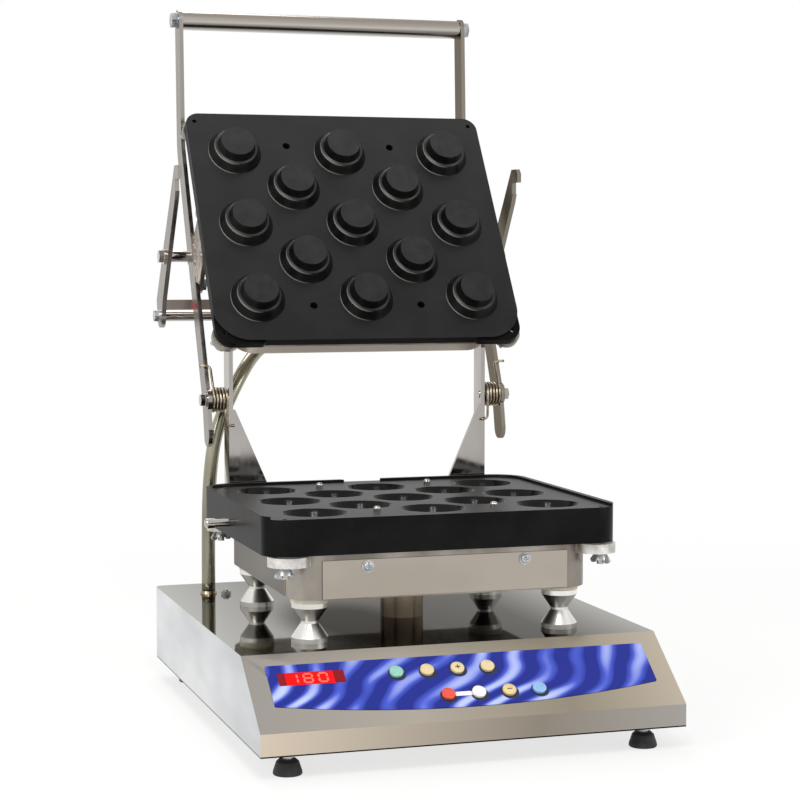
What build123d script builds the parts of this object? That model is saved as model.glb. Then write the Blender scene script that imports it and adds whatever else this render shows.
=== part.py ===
from build123d import *
import math
import os

# Tartlet shell maker with the head swung open.
# X is right, Y is back and Z is up. While the parts are made, Y = 0 is the middle of the mould
# plates and Z = 0 is the floor. At the end everything moves along Y, so that the origin is the
# middle of the whole machine on the floor. Millimetres throughout.

# Driving dimensions: the mould pattern
pitch_x = 101.0
pitch_y = 40.0
stamp_radius = 25.0
stamp_shoulder = 19.8
stamp_ledge = 1.9
stamp_tip = 15.5
stamp_height = 18.0
dough_gap = 2.0
closed_gap = 1.0

# Driving dimensions: heights of the stack, from the floor up
foot_height = 19.2
lip_height = 18.3
slope_drop = 47.8
spacer_height = 32.2
insulator_thickness = 4.5
casting_height = 36.5
lower_plate_thickness = 29.5

# Driving dimensions: base housing
base_width = 350.0
base_front = 196.6
base_back = 219.5
slope_depth = 63.6
base_corner = 8.0
sheet = 1.5
foot_radius = 11.5
foot_x = 148.0
foot_front = 173.0
foot_back = 185.0

# Driving dimensions: control panel, on the slope
panel_width = 317.0
panel_top = 12.7
panel_bottom = 53.5
panel_bulge = 13.0
film = 0.6
button_radius = 5.5
button_pitch = 25.3
button_rise = 2.4
button_travel = 0.8
button_row_top = 27.4
button_row_bottom = 53.4
row_top_start = -55.4
row_bottom_start = -19.2
window_width = 53.5
window_height = 13.0
window_inset = 7.75
board_depth = 9.0
board_height = 44.0
board_sheet = 1.6
switch_height = 2.0

# Driving dimensions: what stands on the base
spacer_radius = 15.0
spacer_waist = 7.3
spacer_rim = 4.0
spacer_x = 108.0
spacer_y = 90.0
stud_radius = 4.0
column_radius = 18.5
column_wall = 3.0
column_back = 5.0
gland_x = -135.7
gland_y = 164.0
gland_radius = 8.0
gland_height = 2.5
inlet_x = -110.0
inlet_rise = 32.0
inlet_width = 28.0
inlet_height = 20.0
inlet_depth = 22.0
inlet_wing = 10.0
bolt_x = 121.5
bolt_y = 154.0
bolt_radius = 2.5
bolt_flats = 8.0
bolt_head = 3.0

# Driving dimensions: castings and plates
casting_x = 128.0
casting_y = 116.0
casting_corner = 28.0
cover_half = 104.6
cover_low_edge = 0.8
cover_high_edge = 4.5
cover_sheet = 1.5
screw_x = 67.0
screw_drop = 10.3
screw_radius = 2.0
screw_bite = 8.0
screw_washer = 5.0
screw_washer_sheet = 1.0
screw_head = 3.6
screw_head_height = 2.0
screw_cross = 4.4
screw_cross_width = 0.9
lug_radius = 16.8
lug_x = 131.0
lug_y = 112.0
lug_thickness = 8.0
upper_lug_thickness = 6.0
upper_lug_radius = 13.5
corner_stud_x = 134.7
corner_stud_y = 114.7
corner_stud_radius = 3.0
lower_x = 150.5
lower_front = 119.0
lower_back = 129.5
lower_corner_back = 30.0
lower_corner_front = 19.0
rim_height = 2.2
rim_width = 5.0
rim_gap = 40.0
pin_radius = 3.0
pin_height = 4.5
pin_bite = 8.0
pin_nose = 2.0
pin_y = 88.0
striker_radius = 3.5
striker_drop = 16.0
striker_length = 17.5
striker_bite = 12.0
striker_nut = 4.3
striker_nut_length = 6.0
upper_x = 143.0
upper_front = 124.0
upper_back = 123.0
upper_thickness = 10.0
upper_corner_front = 13.0
upper_corner_back = 32.0
upper_lug_back = 125.0
upper_lug_inner = 98.0
upper_lug_corner = 16.0
upper_lug_drop = 3.0
upper_block = 14.0
upper_cover_height = 15.0
upper_cover_inset = 2.0
head_gland_x = -50.0
head_gland_v = -60.0
wing_span = 10.0
wing_height = 9.0
wing_thickness = 2.4
stud_end = 0.8

# Driving dimensions: hinge, side bars and grip
hinge_y = 140.0
hinge_rise = 77.0
head_travel = 123.5
post_x = 118.7
post_sheet = 3.8
post_front = 133.0
post_depth = 20.0
post_top = 130.0
flange_in = 80.0
flange_narrow = 87.0
flange_shoulder = 68.0
flange_foot = 60.0
flange_width = 32.0
flange_step = 28.0
flange_taper = 38.0
bar_x = 138.2
bar_thickness = 3.8
bar_width = 20.0
tail_y = 139.0
tail_rise = 45.0
cross_y = 146.0
bend_rise = 308.0
grip_rise = 428.0
grip_run = 5.0
nut_gap = 2.4548
bend_radius = 45.0
band_rise = 161.0
band_height = 5.0
pad_height = 6.0
pad_depth = 3.5
hinge_pin_radius = 4.0
hinge_head_flats = 10.0
hinge_washer = 6.5
collar_radius = 7.0
grip_radius = 8.8
grip_bite = 20.0
running = 0.05
clearance = 0.3

# Driving dimensions: latch frame
latch_y = 213.0
latch_rise = 206.0
latch_throw = 20.8
pivot_washer = 7.5
pivot_nut_end = 6.0
pivot_nut_inner = 5.0
tie_washer = 6.5
tie_flats = 10.0
tie_head_end = 5.5
crown_height = 12.4
knee_height = 10.5
elbow_height = 15.0
rod_radius = 5.3
hook_x = 160.4
hook_thickness = 4.0
hook_width = 22.0
hook_waist = 29.6
hook_neck = 26.1
mouth_rise = 270.3
mouth_height = 10.6
mouth_back = 163.0
mouth_depth = 13.5
tie_y = 240.0
tie_rise = 150.0
tie_radius = 5.0
crossbar_y = 226.0
crossbar_rise = 156.0
crossbar_height = 9.5
crossbar_sheet = 4.0
link_drop = 26.0
boss_radius = 4.5
boss_bolt_radius = 2.5
boss_bite = 10.0
boss_front = -10.0
boss_back = 22.0

# Driving dimensions: hinge springs and hose
wire = 2.4
spring_radius = 10.3
spring_turns = 4
spring_gap = 0.55
hose_radius = 6.25
hose_stub = 43.5

# Worked out from the driving dimensions
base_floor = foot_height
lip_top = base_floor + lip_height
base_top = lip_top + slope_drop
casting_floor = base_top + spacer_height + insulator_thickness
plate_floor = casting_floor + casting_height
mould_top = plate_floor + lower_plate_thickness
hinge_z = mould_top + hinge_rise
window_x = -panel_width / 2 + window_inset + window_width / 2
latch_z = mould_top + latch_rise
slope_front = base_front - slope_depth
cavity_depth = stamp_height + dough_gap - closed_gap
travel = math.radians(head_travel)


def opened(y, z):
    """A point of the closed head's side view, given above the mould plate, swung open."""
    dy = y - hinge_y
    dz = z - hinge_rise
    return (hinge_y + dy * math.cos(travel) + dz * math.sin(travel),
            hinge_z - dy * math.sin(travel) + dz * math.cos(travel))


# The head's own plane: x is right, y runs from the hinge side to the front, z leaves the face
head_y, head_z = opened(0, closed_gap)
head_plane = Plane(origin=(0, head_y, head_z), x_dir=(1, 0, 0),
                   z_dir=(0, -math.sin(travel), -math.cos(travel)))
panel_tilt = math.atan2(slope_drop, slope_depth)
panel_plane = Plane(origin=(0, -slope_front, base_top), x_dir=(1, 0, 0),
                    z_dir=(0, -math.sin(panel_tilt), math.cos(panel_tilt)))
hinge_point = (hinge_y, hinge_z)
latch_point = (latch_y, latch_z)
parts = {}


def block(x0, x1, y0, y1, z0, z1):
    """A box between two corners."""
    return Pos((x0 + x1) / 2, (y0 + y1) / 2, (z0 + z1) / 2) * Box(x1 - x0, y1 - y0, z1 - z0)


def rod_z(x, y, z0, z1, radius):
    """A round bar along Z."""
    return Pos(x, y, (z0 + z1) / 2) * Cylinder(radius, z1 - z0)


def rod_x(point, x0, x1, radius):
    """A round bar along X through a point given as (y, z)."""
    middle = Pos((x0 + x1) / 2, point[0], point[1])
    return middle * Rot(0, 90, 0) * Cylinder(radius, abs(x1 - x0))


def hex_x(point, x0, x1, flats):
    """A hexagon along X through a point given as (y, z), sized across its flats."""
    outline = RegularPolygon(flats / 2, 6, major_radius=False)
    return extrude(Plane.YZ.offset(min(x0, x1)) * Pos(point[0], point[1]) * outline, abs(x1 - x0))


def hex_z(x, y, z0, z1, flats):
    """A hexagon along Z, sized across its flats."""
    outline = RegularPolygon(flats / 2, 6, major_radius=False)
    return extrude(Pos(x, y, z0) * outline, z1 - z0)


def side_plate(face, x0, x1):
    """A side-view face, drawn as (y, z), made solid between two X positions."""
    return extrude(Plane.YZ.offset(min(x0, x1)) * face, abs(x1 - x0))


def rounded_plate(x, y0, y1, z0, z1, front, back):
    """A plate centred on X with its own corner radii at the front and at the back."""
    face = Pos(0, (y0 + y1) / 2) * Rectangle(2 * x, y1 - y0)
    face = fillet(face.vertices().filter_by(lambda v: v.Y < 0), front)
    face = fillet(face.vertices().filter_by(lambda v: v.Y > (y0 + y1) / 2 + front), back)
    return Pos(0, 0, z0) * extrude(face, z1 - z0)


def pattern():
    """The thirteen mould places, in rows of three and two."""
    places = []
    for row in range(-2, 3):
        columns = (-1, 0, 1) if row % 2 == 0 else (-0.5, 0.5)
        places += [(column * pitch_x, row * pitch_y) for column in columns]
    return places


def corners(x, y):
    """The four corners of a rectangle about the middle."""
    return [(side * x, end * y) for end in (-1, 1) for side in (-1, 1)]


# Base housing: a folded sheet box with a sloping control face, open below, and its floor plate
side = Polyline((base_back, base_floor), (base_back, base_top), (-slope_front, base_top),
                (-base_front, lip_top), (-base_front, base_floor), close=True)
shell = side_plate(make_face(side), -base_width / 2, base_width / 2)
rear_edges = shell.edges().filter_by(Axis.Z).filter_by(lambda e: e.center().Y > 0)
shell = fillet(rear_edges, base_corner)
shell = offset(shell, amount=-sheet, openings=shell.faces().sort_by(Axis.Z)[0])
for x, y in corners(spacer_x, spacer_y):
    shell -= rod_z(x, y, base_top - 2 * sheet, base_top + sheet, stud_radius + clearance)

buttons = {}
top_row = ["on", "temp", "plus", "set"]
bottom_row = ["off", "tick", "minus", "start"]
for index in range(len(top_row)):
    x_top = row_top_start + index * button_pitch
    x_bottom = row_bottom_start + index * button_pitch
    buttons["button_" + top_row[index]] = (x_top, -button_row_top)
    buttons["button_" + bottom_row[index]] = (x_bottom, -button_row_bottom)
for x, y in buttons.values():
    hole = Pos(x, y, 0) * Cylinder(button_radius + clearance, 4 * sheet)
    shell -= panel_plane * hole
window_y = -button_row_top
window_face = Pos(window_x, window_y) * RectangleRounded(window_width, window_height, 1.0)
shell -= panel_plane * extrude(window_face, 2 * sheet, both=True)

# Openings of the housing for the hose at the top and the mains inlet at the back
inlet_z = base_floor + inlet_rise
shell -= rod_z(gland_x, gland_y, base_top - 2 * sheet, base_top + sheet, gland_radius - 2)
shell -= block(inlet_x - inlet_width / 2 - clearance, inlet_x + inlet_width / 2 + clearance,
               base_back - 2 * sheet, base_back + sheet,
               inlet_z - inlet_height / 2 - clearance, inlet_z + inlet_height / 2 + clearance)
for x in (-bolt_x, bolt_x):
    shell -= rod_z(x, bolt_y, base_top - 2 * sheet, base_top + sheet, bolt_radius + clearance)
parts["base_housing"] = shell

floor_gap = sheet + clearance
floor_plate = rounded_plate(base_width / 2 - floor_gap, -base_front + floor_gap,
                            base_back - floor_gap, base_floor, base_floor + sheet, 1.0,
                            base_corner - floor_gap)
feet = corners(foot_x, 1)
feet = [(x, -foot_front if y < 0 else foot_back) for x, y in feet]
for x, y in feet:
    floor_plate -= rod_z(x, y, base_floor - sheet, base_floor + 2 * sheet, stud_radius + clearance)
parts["base_floor"] = floor_plate

# Feet: a rubber cup that narrows upwards, on a threaded stud with a nut under the floor plate
rubber_height = 12.0
nut_height = 5.0
nut_flats = 13.0
cup = [(0, 0), (foot_radius - 0.7, 0), (foot_radius, 0.9), (foot_radius - 0.3, 3),
       (foot_radius - 2.6, rubber_height - 2), (foot_radius - 4.8, rubber_height), (0, rubber_height)]
foot = revolve(make_face(Plane.XZ * Polyline(*cup, close=True)), Axis.Z)
foot -= rod_z(0, 0, rubber_height - 6, rubber_height + 1, stud_radius)
stud_foot = rod_z(0, 0, rubber_height - 6, base_floor + 3 * sheet, stud_radius)
stud_foot += hex_z(0, 0, base_floor - nut_height, base_floor, nut_flats)
parts["rubber_feet"] = Compound([Pos(x, y, 0) * foot for x, y in feet])
parts["foot_studs"] = Compound([Pos(x, y, 0) * stud_foot for x, y in feet])

# Control panel: a printed film, a clear window over the digits, and the board behind them
half = panel_width / 2
panel_edge = Polyline((half, -panel_bottom), (half, -panel_top), (-half, -panel_top),
                      (-half, -panel_bottom))
panel_curve = ThreePointArc((-half, -panel_bottom), (0, -panel_bottom - panel_bulge),
                            (half, -panel_bottom))
overlay_face = make_face(panel_edge + panel_curve)
overlay_face = fillet(overlay_face.vertices(), 1.0)
overlay = extrude(overlay_face, film)
for x, y in buttons.values():
    overlay -= Pos(x, y, 0) * Cylinder(button_radius + clearance, 4 * film)
window_hole = Pos(window_x, window_y) * RectangleRounded(window_width, window_height, 1.0)
overlay -= extrude(window_hole, 2 * film, both=True)
parts["control_overlay"] = panel_plane * overlay
pane_gap = 0.2
window_pane = RectangleRounded(window_width - pane_gap, window_height - pane_gap, 1.0)
window_pane = extrude(Pos(window_x, window_y, -sheet) * window_pane, sheet + film)
parts["display_window"] = panel_plane * window_pane

board_width = panel_width - 6 * window_inset
board_x = window_x - window_width / 2 + board_width / 2 - 2
board_y = -(button_row_top + button_row_bottom) / 2
board = Box(board_width, board_height, board_sheet)
board = Pos(board_x, board_y, -board_depth - board_sheet / 2) * board
for x, y in buttons.values():
    board += Pos(x, y, -board_depth + switch_height / 2) * Box(6, 6, switch_height)
pillar_x = (board_x - board_width / 2 + 4, board_x + board_width / 2 - 4)
for x in pillar_x:
    for y in (board_y - board_height / 2 + 4, board_y + board_height / 2 - 4):
        pillar_height = board_depth - sheet
        board += Pos(x, y, -board_depth + pillar_height / 2) * Cylinder(2.5, pillar_height)
digit_block = board_depth - sheet - clearance
board += Pos(window_x, window_y, -board_depth + digit_block / 2) * Box(
    window_width - 4, window_height - 2, digit_block)
parts["control_board"] = panel_plane * board

# A button: a domed cap through the film and the sheet, a flange that stops it coming out,
# and a stem that ends just over its switch
flange = 1.2
cap_top = film + button_rise
stem_end = -board_depth + switch_height + button_travel + 0.1
dome_rise = 0.6
dome_radius = (button_radius ** 2 + dome_rise ** 2) / (2 * dome_rise)
dome_half = cap_top - dome_radius + math.sqrt(dome_radius ** 2 - button_radius ** 2 / 4)
dome = ThreePointArc((button_radius, cap_top - dome_rise), (button_radius / 2, dome_half), (0, cap_top))
cap_line = Polyline((0, cap_top), (0, stem_end), (2, stem_end), (2, -sheet - flange),
                    (button_radius + 1.2, -sheet - flange), (button_radius + 1.2, -sheet),
                    (button_radius, -sheet), (button_radius, cap_top - dome_rise))
button = revolve(make_face(Plane.XZ * (cap_line + dome)), Axis.Z)
for name, (x, y) in buttons.items():
    parts[name] = panel_plane * (Pos(x, y, 0) * button)

# Mains inlet at the back, with its socket and three blades
inlet = block(inlet_x - inlet_width / 2, inlet_x + inlet_width / 2, base_back - inlet_depth,
              base_back, inlet_z - inlet_height / 2, inlet_z + inlet_height / 2)
inlet += block(inlet_x - inlet_width / 2 - inlet_wing, inlet_x + inlet_width / 2 + inlet_wing,
               base_back, base_back + 2, inlet_z - inlet_height / 2 - 3, inlet_z + inlet_height / 2 + 3)
socket_floor = base_back - inlet_depth + 6
inlet -= block(inlet_x - inlet_width / 2 + 2, inlet_x + inlet_width / 2 - 2, socket_floor,
               base_back + 3, inlet_z - inlet_height / 2 + 2, inlet_z + inlet_height / 2 - 2)
for x, z in ((-inlet_width / 4, -2), (inlet_width / 4, -2), (0, 2)):
    inlet += block(inlet_x + x - 1, inlet_x + x + 1, socket_floor - 1, socket_floor + 8,
                   inlet_z + z - 2, inlet_z + z + 2)
parts["mains_inlet"] = inlet

base_bolt = rod_z(0, 0, base_top - 3 * bolt_head, base_top + bolt_head + 1.5, bolt_radius)
base_bolt += hex_z(0, 0, base_top, base_top + bolt_head, bolt_flats)
base_bolt += hex_z(0, 0, base_top - sheet - bolt_head, base_top - sheet, bolt_flats)
base_bolts = [Pos(x, bolt_y, 0) * base_bolt for x in (-bolt_x, bolt_x)]

# Turned spacers, waisted in the middle, with their studs, insulating washers and the centre tube
waist_z = spacer_height / 2
half_spacer = [(0, 0), (spacer_radius, 0), (spacer_radius, spacer_rim), (spacer_waist, waist_z - 1)]
upper_half = [(x, spacer_height - z) for x, z in reversed(half_spacer)]
spacer_face = make_face(Plane.XZ * Polyline(*half_spacer, *upper_half, close=True))
spacer = Pos(0, 0, base_top) * revolve(spacer_face, Axis.Z)
spacer -= rod_z(0, 0, base_top - 1, base_top + spacer_height + 1, stud_radius)
parts["base_spacers"] = Compound([Pos(x, y, 0) * spacer for x, y in corners(spacer_x, spacer_y)])
washer = rod_z(0, 0, casting_floor - insulator_thickness, casting_floor, spacer_radius + 0.5)
washer -= rod_z(0, 0, base_top, casting_floor + 1, stud_radius)
stud = rod_z(0, 0, base_top - 10, casting_floor + 12, stud_radius)
stud += hex_z(0, 0, base_top - sheet - 6.5, base_top - sheet, nut_flats)
spacer_places = corners(spacer_x, spacer_y)
parts["insulating_washers"] = Compound([Pos(x, y, 0) * washer for x, y in spacer_places])
parts["spacer_studs"] = Compound([Pos(x, y, 0) * stud for x, y in spacer_places])
column = rod_z(0, column_back, base_top, casting_floor, column_radius)
column -= rod_z(0, column_back, base_top - 1, casting_floor + 1, column_radius - column_wall)
parts["centre_column"] = column


def wing_nut():
    """A wing nut under its seat at Z = 0, with its wings turned down and away from each other."""
    hub = Cone(wing_span * 0.65, wing_span * 0.45, wing_height * 0.7,
               align=(Align.CENTER, Align.CENTER, Align.MAX))
    outline = Polyline((3, 0), (wing_span * 0.45, 0), (wing_span, -wing_height * 0.75),
                       (wing_span * 0.85, -wing_height), (wing_span * 0.5, -wing_height),
                       (3, -wing_height * 0.55), close=True)
    wing_face = make_face(outline)
    wing_face = fillet(wing_face.vertices().filter_by(lambda v: v.X > 4), 1.2)
    wing = extrude(Plane.XZ * wing_face, wing_thickness / 2, both=True)
    nut = hub + wing + mirror(wing, Plane.YZ)
    return nut - Cylinder(corner_stud_radius + running, 3 * wing_height)


def corner_lugs(z0, z1, radius):
    """The four lugs that carry the corner studs of a casting."""
    return [rod_z(x, y, z0, z1, radius) for x, y in corners(lug_x, lug_y)]


# Lower casting: a heating block with rounded corner legs, lugs, and recesses for its covers
casting_outline = RectangleRounded(2 * casting_x, 2 * casting_y, casting_corner)
casting = extrude(Pos(0, 0, casting_floor) * casting_outline, casting_height)
casting += corner_lugs(plate_floor - lug_thickness, plate_floor, lug_radius)
cover_low = casting_floor + cover_low_edge
cover_high = plate_floor - cover_high_edge
side_cover_half = cover_half - casting_x + casting_y - 3.0
recess = cover_sheet - 0.7
casting -= block(-cover_half, cover_half, -casting_y - 1, -casting_y + recess, cover_low, cover_high)
casting -= block(-cover_half, cover_half, casting_y - recess, casting_y + 1, cover_low, cover_high)
for x in (-casting_x, casting_x):
    casting -= block(x - recess, x + recess, -side_cover_half, side_cover_half, cover_low, cover_high)
screw_z = plate_floor - screw_drop
for x in (-screw_x, screw_x):
    for y in (-casting_y, casting_y):
        casting -= Pos(x, y, screw_z) * Rot(90, 0, 0) * Cylinder(screw_radius, 2 * screw_bite)
for x, y in corners(corner_stud_x, corner_stud_y):
    casting -= rod_z(x, y, plate_floor - 2 * lug_thickness, plate_floor + 1, corner_stud_radius)
for x, y in corners(spacer_x, spacer_y):
    casting -= rod_z(x, y, casting_floor - 1, casting_floor + 12, stud_radius)
parts["lower_casting"] = casting

# Stainless covers in the recesses, with cross-head screws at the front and the back
cover = block(-cover_half + clearance, cover_half - clearance, 0, cover_sheet,
              cover_low + clearance, cover_high - clearance)
for x in (-screw_x, screw_x):
    cover -= Pos(x, 0, screw_z) * Rot(90, 0, 0) * Cylinder(screw_radius, 4 * cover_sheet)
cover_face = casting_y - recess
back_cover_plate = Pos(0, cover_face, 0) * cover
side_cover = block(0, cover_sheet, -side_cover_half + clearance, side_cover_half - clearance,
                   cover_low + clearance, cover_high - clearance)
side_face = casting_x - recess
side_covers = [Pos(x, 0, 0) * side_cover for x in (-side_face - cover_sheet, side_face)]
front_cover_plate = Pos(0, -cover_face - cover_sheet, 0) * cover


def cover_screw():
    """A cross-head screw with its washer, seated at Y = 0 and pointing along +Y."""
    seated = (Align.CENTER, Align.CENTER, Align.MIN)
    washer_disc = Cylinder(screw_washer, screw_washer_sheet, align=seated)
    head = Pos(0, 0, screw_washer_sheet) * Cylinder(screw_head, screw_head_height, align=seated)
    head = fillet(head.edges().sort_by(Axis.Z)[-1], 0.6 * screw_head_height)
    slot = Box(screw_cross, screw_cross_width, 1.2 * screw_head_height)
    slot += Box(screw_cross_width, screw_cross, 1.2 * screw_head_height)
    slot = Pos(0, 0, screw_washer_sheet + screw_head_height) * slot
    shank = Cylinder(screw_radius, screw_bite, align=(Align.CENTER, Align.CENTER, Align.MAX))
    return Rot(90, 0, 0) * (washer_disc + head + shank - slot)


outer = cover_face + cover_sheet
screws = [Pos(x, -outer, screw_z) * cover_screw() for x in (-screw_x, screw_x)]
screws += [Rot(0, 0, 180) * screw for screw in screws]
parts["cover_screws"] = Compound(screws)

# Lower mould plate: stepped cavities that follow the stamps, a rim open at the front and notched
# at the back, and bores for the locating pins, the striker pins and the corner studs
lower = rounded_plate(lower_x, -lower_front, lower_back, plate_floor, mould_top + rim_height,
                      lower_corner_front, lower_corner_back)
inner_x = lower_x - rim_width
inner_back = lower_back - rim_width + 0.5
sunk = rounded_plate(inner_x, -2 * lower_front, inner_back, mould_top, mould_top + 2 * rim_height,
                     1.0, lower_corner_back - rim_width)
notch = Polyline((-rim_gap / 2 + 4, inner_back - 2), (rim_gap / 2 - 4, inner_back - 2),
                 (rim_gap / 2, lower_back + 1), (-rim_gap / 2, lower_back + 1), close=True)
lower -= sunk
lower -= Pos(0, 0, mould_top) * extrude(make_face(notch), 2 * rim_height)
cavity_top = stamp_radius + dough_gap
cavity_shoulder = stamp_shoulder + dough_gap
cavity_tip = stamp_tip + dough_gap
cavity_step = stamp_height / 2
cavity_line = [(0, 1), (cavity_top, 1), (cavity_top, 0), (cavity_shoulder, -cavity_step),
               (cavity_shoulder - stamp_ledge, -cavity_step - 0.6), (cavity_tip, -cavity_depth),
               (0, -cavity_depth)]
cavity = revolve(make_face(Plane.XZ * Polyline(*cavity_line, close=True)), Axis.Z)
for x, y in pattern():
    lower -= Pos(x, y, mould_top) * cavity
pin_places = corners(pitch_x / 2, pin_y)
for x, y in pin_places:
    lower -= rod_z(x, y, mould_top - pin_bite, mould_top + 1, pin_radius)
striker_point = (0, mould_top - striker_drop)
for end in (-1, 1):
    lower -= rod_x(striker_point, end * (lower_x - striker_bite), end * (lower_x + 1), striker_radius)
for x, y in corners(corner_stud_x, corner_stud_y):
    lower -= rod_z(x, y, plate_floor - 1, mould_top - 4, corner_stud_radius)
    lower -= rod_z(x, y, mould_top - 5, mould_top + 1, corner_stud_radius - 1)
parts["lower_mould_plate"] = lower

pin = rod_z(0, 0, mould_top - pin_bite, mould_top + pin_height, pin_radius)
pin = fillet(pin.edges().sort_by(Axis.Z)[-1], pin_nose)
parts["locating_pins"] = Compound([Pos(x, y, 0) * pin for x, y in pin_places])

# Striker pins: a rod screwed into the plate's side with a domed nut on its end
striker_tip = lower_x + striker_length
striker = rod_x((0, 0), striker_tip - 2, striker_tip + striker_nut_length, striker_nut)
striker = fillet(striker.edges().sort_by(Axis.X)[-1], striker_nut / 2)
striker += rod_x((0, 0), lower_x - striker_bite, striker_tip, striker_radius)
striker = Pos(0, striker_point[0], striker_point[1]) * striker
parts["striker_pins"] = Compound([mirror(striker, Plane.YZ), striker])

# Corner studs of both plates and the wing nuts that clamp the plates, one on each stud
lower_stud = rod_z(0, 0, plate_floor - lug_thickness - wing_height - stud_end, mould_top - 4,
                   corner_stud_radius)
stud_places = corners(corner_stud_x, corner_stud_y)
parts["lower_corner_studs"] = Compound([Pos(x, y, 0) * lower_stud for x, y in stud_places])
corner_names = ["front_left", "front_right", "back_left", "back_right"]
wing_turns = (25, -60, 15, -35)
nut_seat = plate_floor - lug_thickness
for name, (x, y), turn in zip(corner_names, stud_places, wing_turns):
    parts["wing_nut_lower_" + name] = Pos(x, y, nut_seat) * Rot(0, 0, turn) * wing_nut()

# Head, made in its own plane: the stamp plate with its stamps, and the recessed corner lugs
upper = rounded_plate(upper_x, -upper_back, upper_front, -upper_thickness, 0,
                      upper_corner_back, upper_corner_front)
lug_size = upper_x - upper_lug_inner
for end in (-1, 1):
    lug_face = Rectangle(lug_size, lug_size)
    lug_face = Pos(end * (upper_x - lug_size / 2), -upper_lug_back + lug_size / 2) * lug_face
    outer_corner = lug_face.vertices().filter_by(lambda v: v.Y < -100).sort_by(lambda v: -abs(v.X))[0]
    lug_face = fillet(outer_corner, upper_lug_corner)
    inner_corner = lug_face.vertices().filter_by(lambda v: v.Y < -100).sort_by(lambda v: abs(v.X))[0]
    lug_face = fillet(inner_corner, 4.0)
    upper += Pos(0, 0, -upper_thickness) * extrude(lug_face, upper_thickness - upper_lug_drop)
stamp_step = stamp_height / 2
stamp_line = [(0, -1), (stamp_radius, -1), (stamp_radius, 0), (stamp_shoulder, stamp_step),
              (stamp_shoulder - stamp_ledge, stamp_step + 0.6), (stamp_tip, stamp_height),
              (0, stamp_height)]
stamp = revolve(make_face(Plane.XZ * Polyline(*stamp_line, close=True)), Axis.Z)
for x, y in pattern():
    upper += Pos(x, y, 0) * stamp
for x, y in pin_places:
    upper -= Pos(x, y, -upper_thickness / 2) * Cylinder(pin_radius + 0.5, 2 * upper_thickness)
stud_hole = upper_thickness - upper_lug_drop - 2
for x, y in stud_places:
    upper -= Pos(x, y, -upper_thickness) * Cylinder(corner_stud_radius, 2 * stud_hole)
    upper -= Pos(x, y, 0) * Cylinder(corner_stud_radius - 1, 3 * upper_thickness)
parts["upper_mould_plate"] = head_plane * upper

# Upper casting: a rim, four lugs, and a core that the back cover closes over
block_back = -upper_thickness - upper_block
core_back = block_back - upper_cover_height + 4
head_casting = extrude(Pos(0, 0, block_back) * casting_outline, upper_block)
core_outline = RectangleRounded(2 * (casting_x - 12), 2 * (casting_y - 12), casting_corner - 8)
head_casting += extrude(Pos(0, 0, core_back) * core_outline, block_back - core_back)
head_casting += corner_lugs(-upper_thickness - upper_lug_thickness, -upper_thickness, upper_lug_radius)
for x, y in pin_places:
    head_casting -= Pos(x, y, -upper_thickness) * Cylinder(pin_radius + 0.5, 8)
for x, y in stud_places:
    head_casting -= Pos(x, y, -upper_thickness) * Cylinder(corner_stud_radius, 4 * lug_thickness)
parts["upper_casting"] = head_plane * head_casting
head_back = block_back - upper_cover_height
cover_half_x = casting_x - upper_cover_inset
cover_half_y = casting_y - upper_cover_inset
cover_outline = RectangleRounded(2 * cover_half_x, 2 * cover_half_y, casting_corner - upper_cover_inset)
back_cover = extrude(Pos(0, 0, head_back) * cover_outline, upper_cover_height)
inner_outline = RectangleRounded(2 * (cover_half_x - cover_sheet), 2 * (cover_half_y - cover_sheet),
                                 casting_corner - upper_cover_inset - cover_sheet)
back_cover -= extrude(Pos(0, 0, head_back + cover_sheet) * inner_outline, upper_cover_height)
back_cover -= Pos(head_gland_x, head_gland_v, head_back) * Cylinder(gland_radius - 2, 6)
parts["upper_back_cover"] = head_plane * back_cover

upper_seat = -upper_thickness - upper_lug_thickness
upper_stud_top = upper_seat - wing_height - stud_end
upper_stud = rod_z(0, 0, upper_stud_top, -upper_lug_drop - 2, corner_stud_radius)
upper_studs = [head_plane * (Pos(x, y, 0) * upper_stud) for x, y in stud_places]
parts["upper_corner_studs"] = Compound(upper_studs)
upper_names = ["back_left", "back_right", "front_left", "front_right"]
for name, (x, y), turn in zip(upper_names, stud_places, (-20, 40, 10, 60)):
    turned = Pos(x, y, upper_seat) * Rot(0, 0, turn) * wing_nut()
    parts["wing_nut_upper_" + name] = head_plane * turned

# Hinge brackets: a folded post beside each back corner, with a gusset flange that bolts to the
# casting through standoffs
post_floor = mould_top - flange_step
mount_radius = 3.0
mount_z = mould_top - flange_foot + 10
mount_places = [(flange_in + 12, mount_z), (flange_in + 26, mount_z)]
post_face = Rectangle(post_depth, mould_top + post_top - post_floor)
post_face = Pos(post_front + post_depth / 2, (post_floor + mould_top + post_top) / 2) * post_face
post_face = fillet(post_face.vertices().filter_by(lambda v: v.Y > mould_top), post_depth / 2 - 1)
post = side_plate(post_face, post_x, post_x + post_sheet)
flange_out = flange_in + flange_width
flange_line = [(post_x + 1, flange_shoulder), (post_x + 1, -flange_step),
               (flange_out, -flange_taper), (flange_out, -flange_foot),
               (flange_in, -flange_foot), (flange_in, -12),
               (flange_narrow, 0), (post_x - 2, flange_shoulder)]
flange_points = [(x, z + mould_top) for x, z in flange_line]
flange_face = make_face(Polyline(*flange_points, close=True))
post += extrude(Plane.XZ.offset(-post_front - post_sheet) * flange_face, post_sheet)
post -= rod_x(hinge_point, post_x - 1, post_x + post_sheet + 1, hinge_pin_radius)
for x, z in mount_places:
    post -= Pos(x, post_front, z) * Rot(90, 0, 0) * Cylinder(mount_radius, 4 * post_sheet)
parts["hinge_bracket_left"] = mirror(post, Plane.YZ)
parts["hinge_bracket_right"] = post

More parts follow.
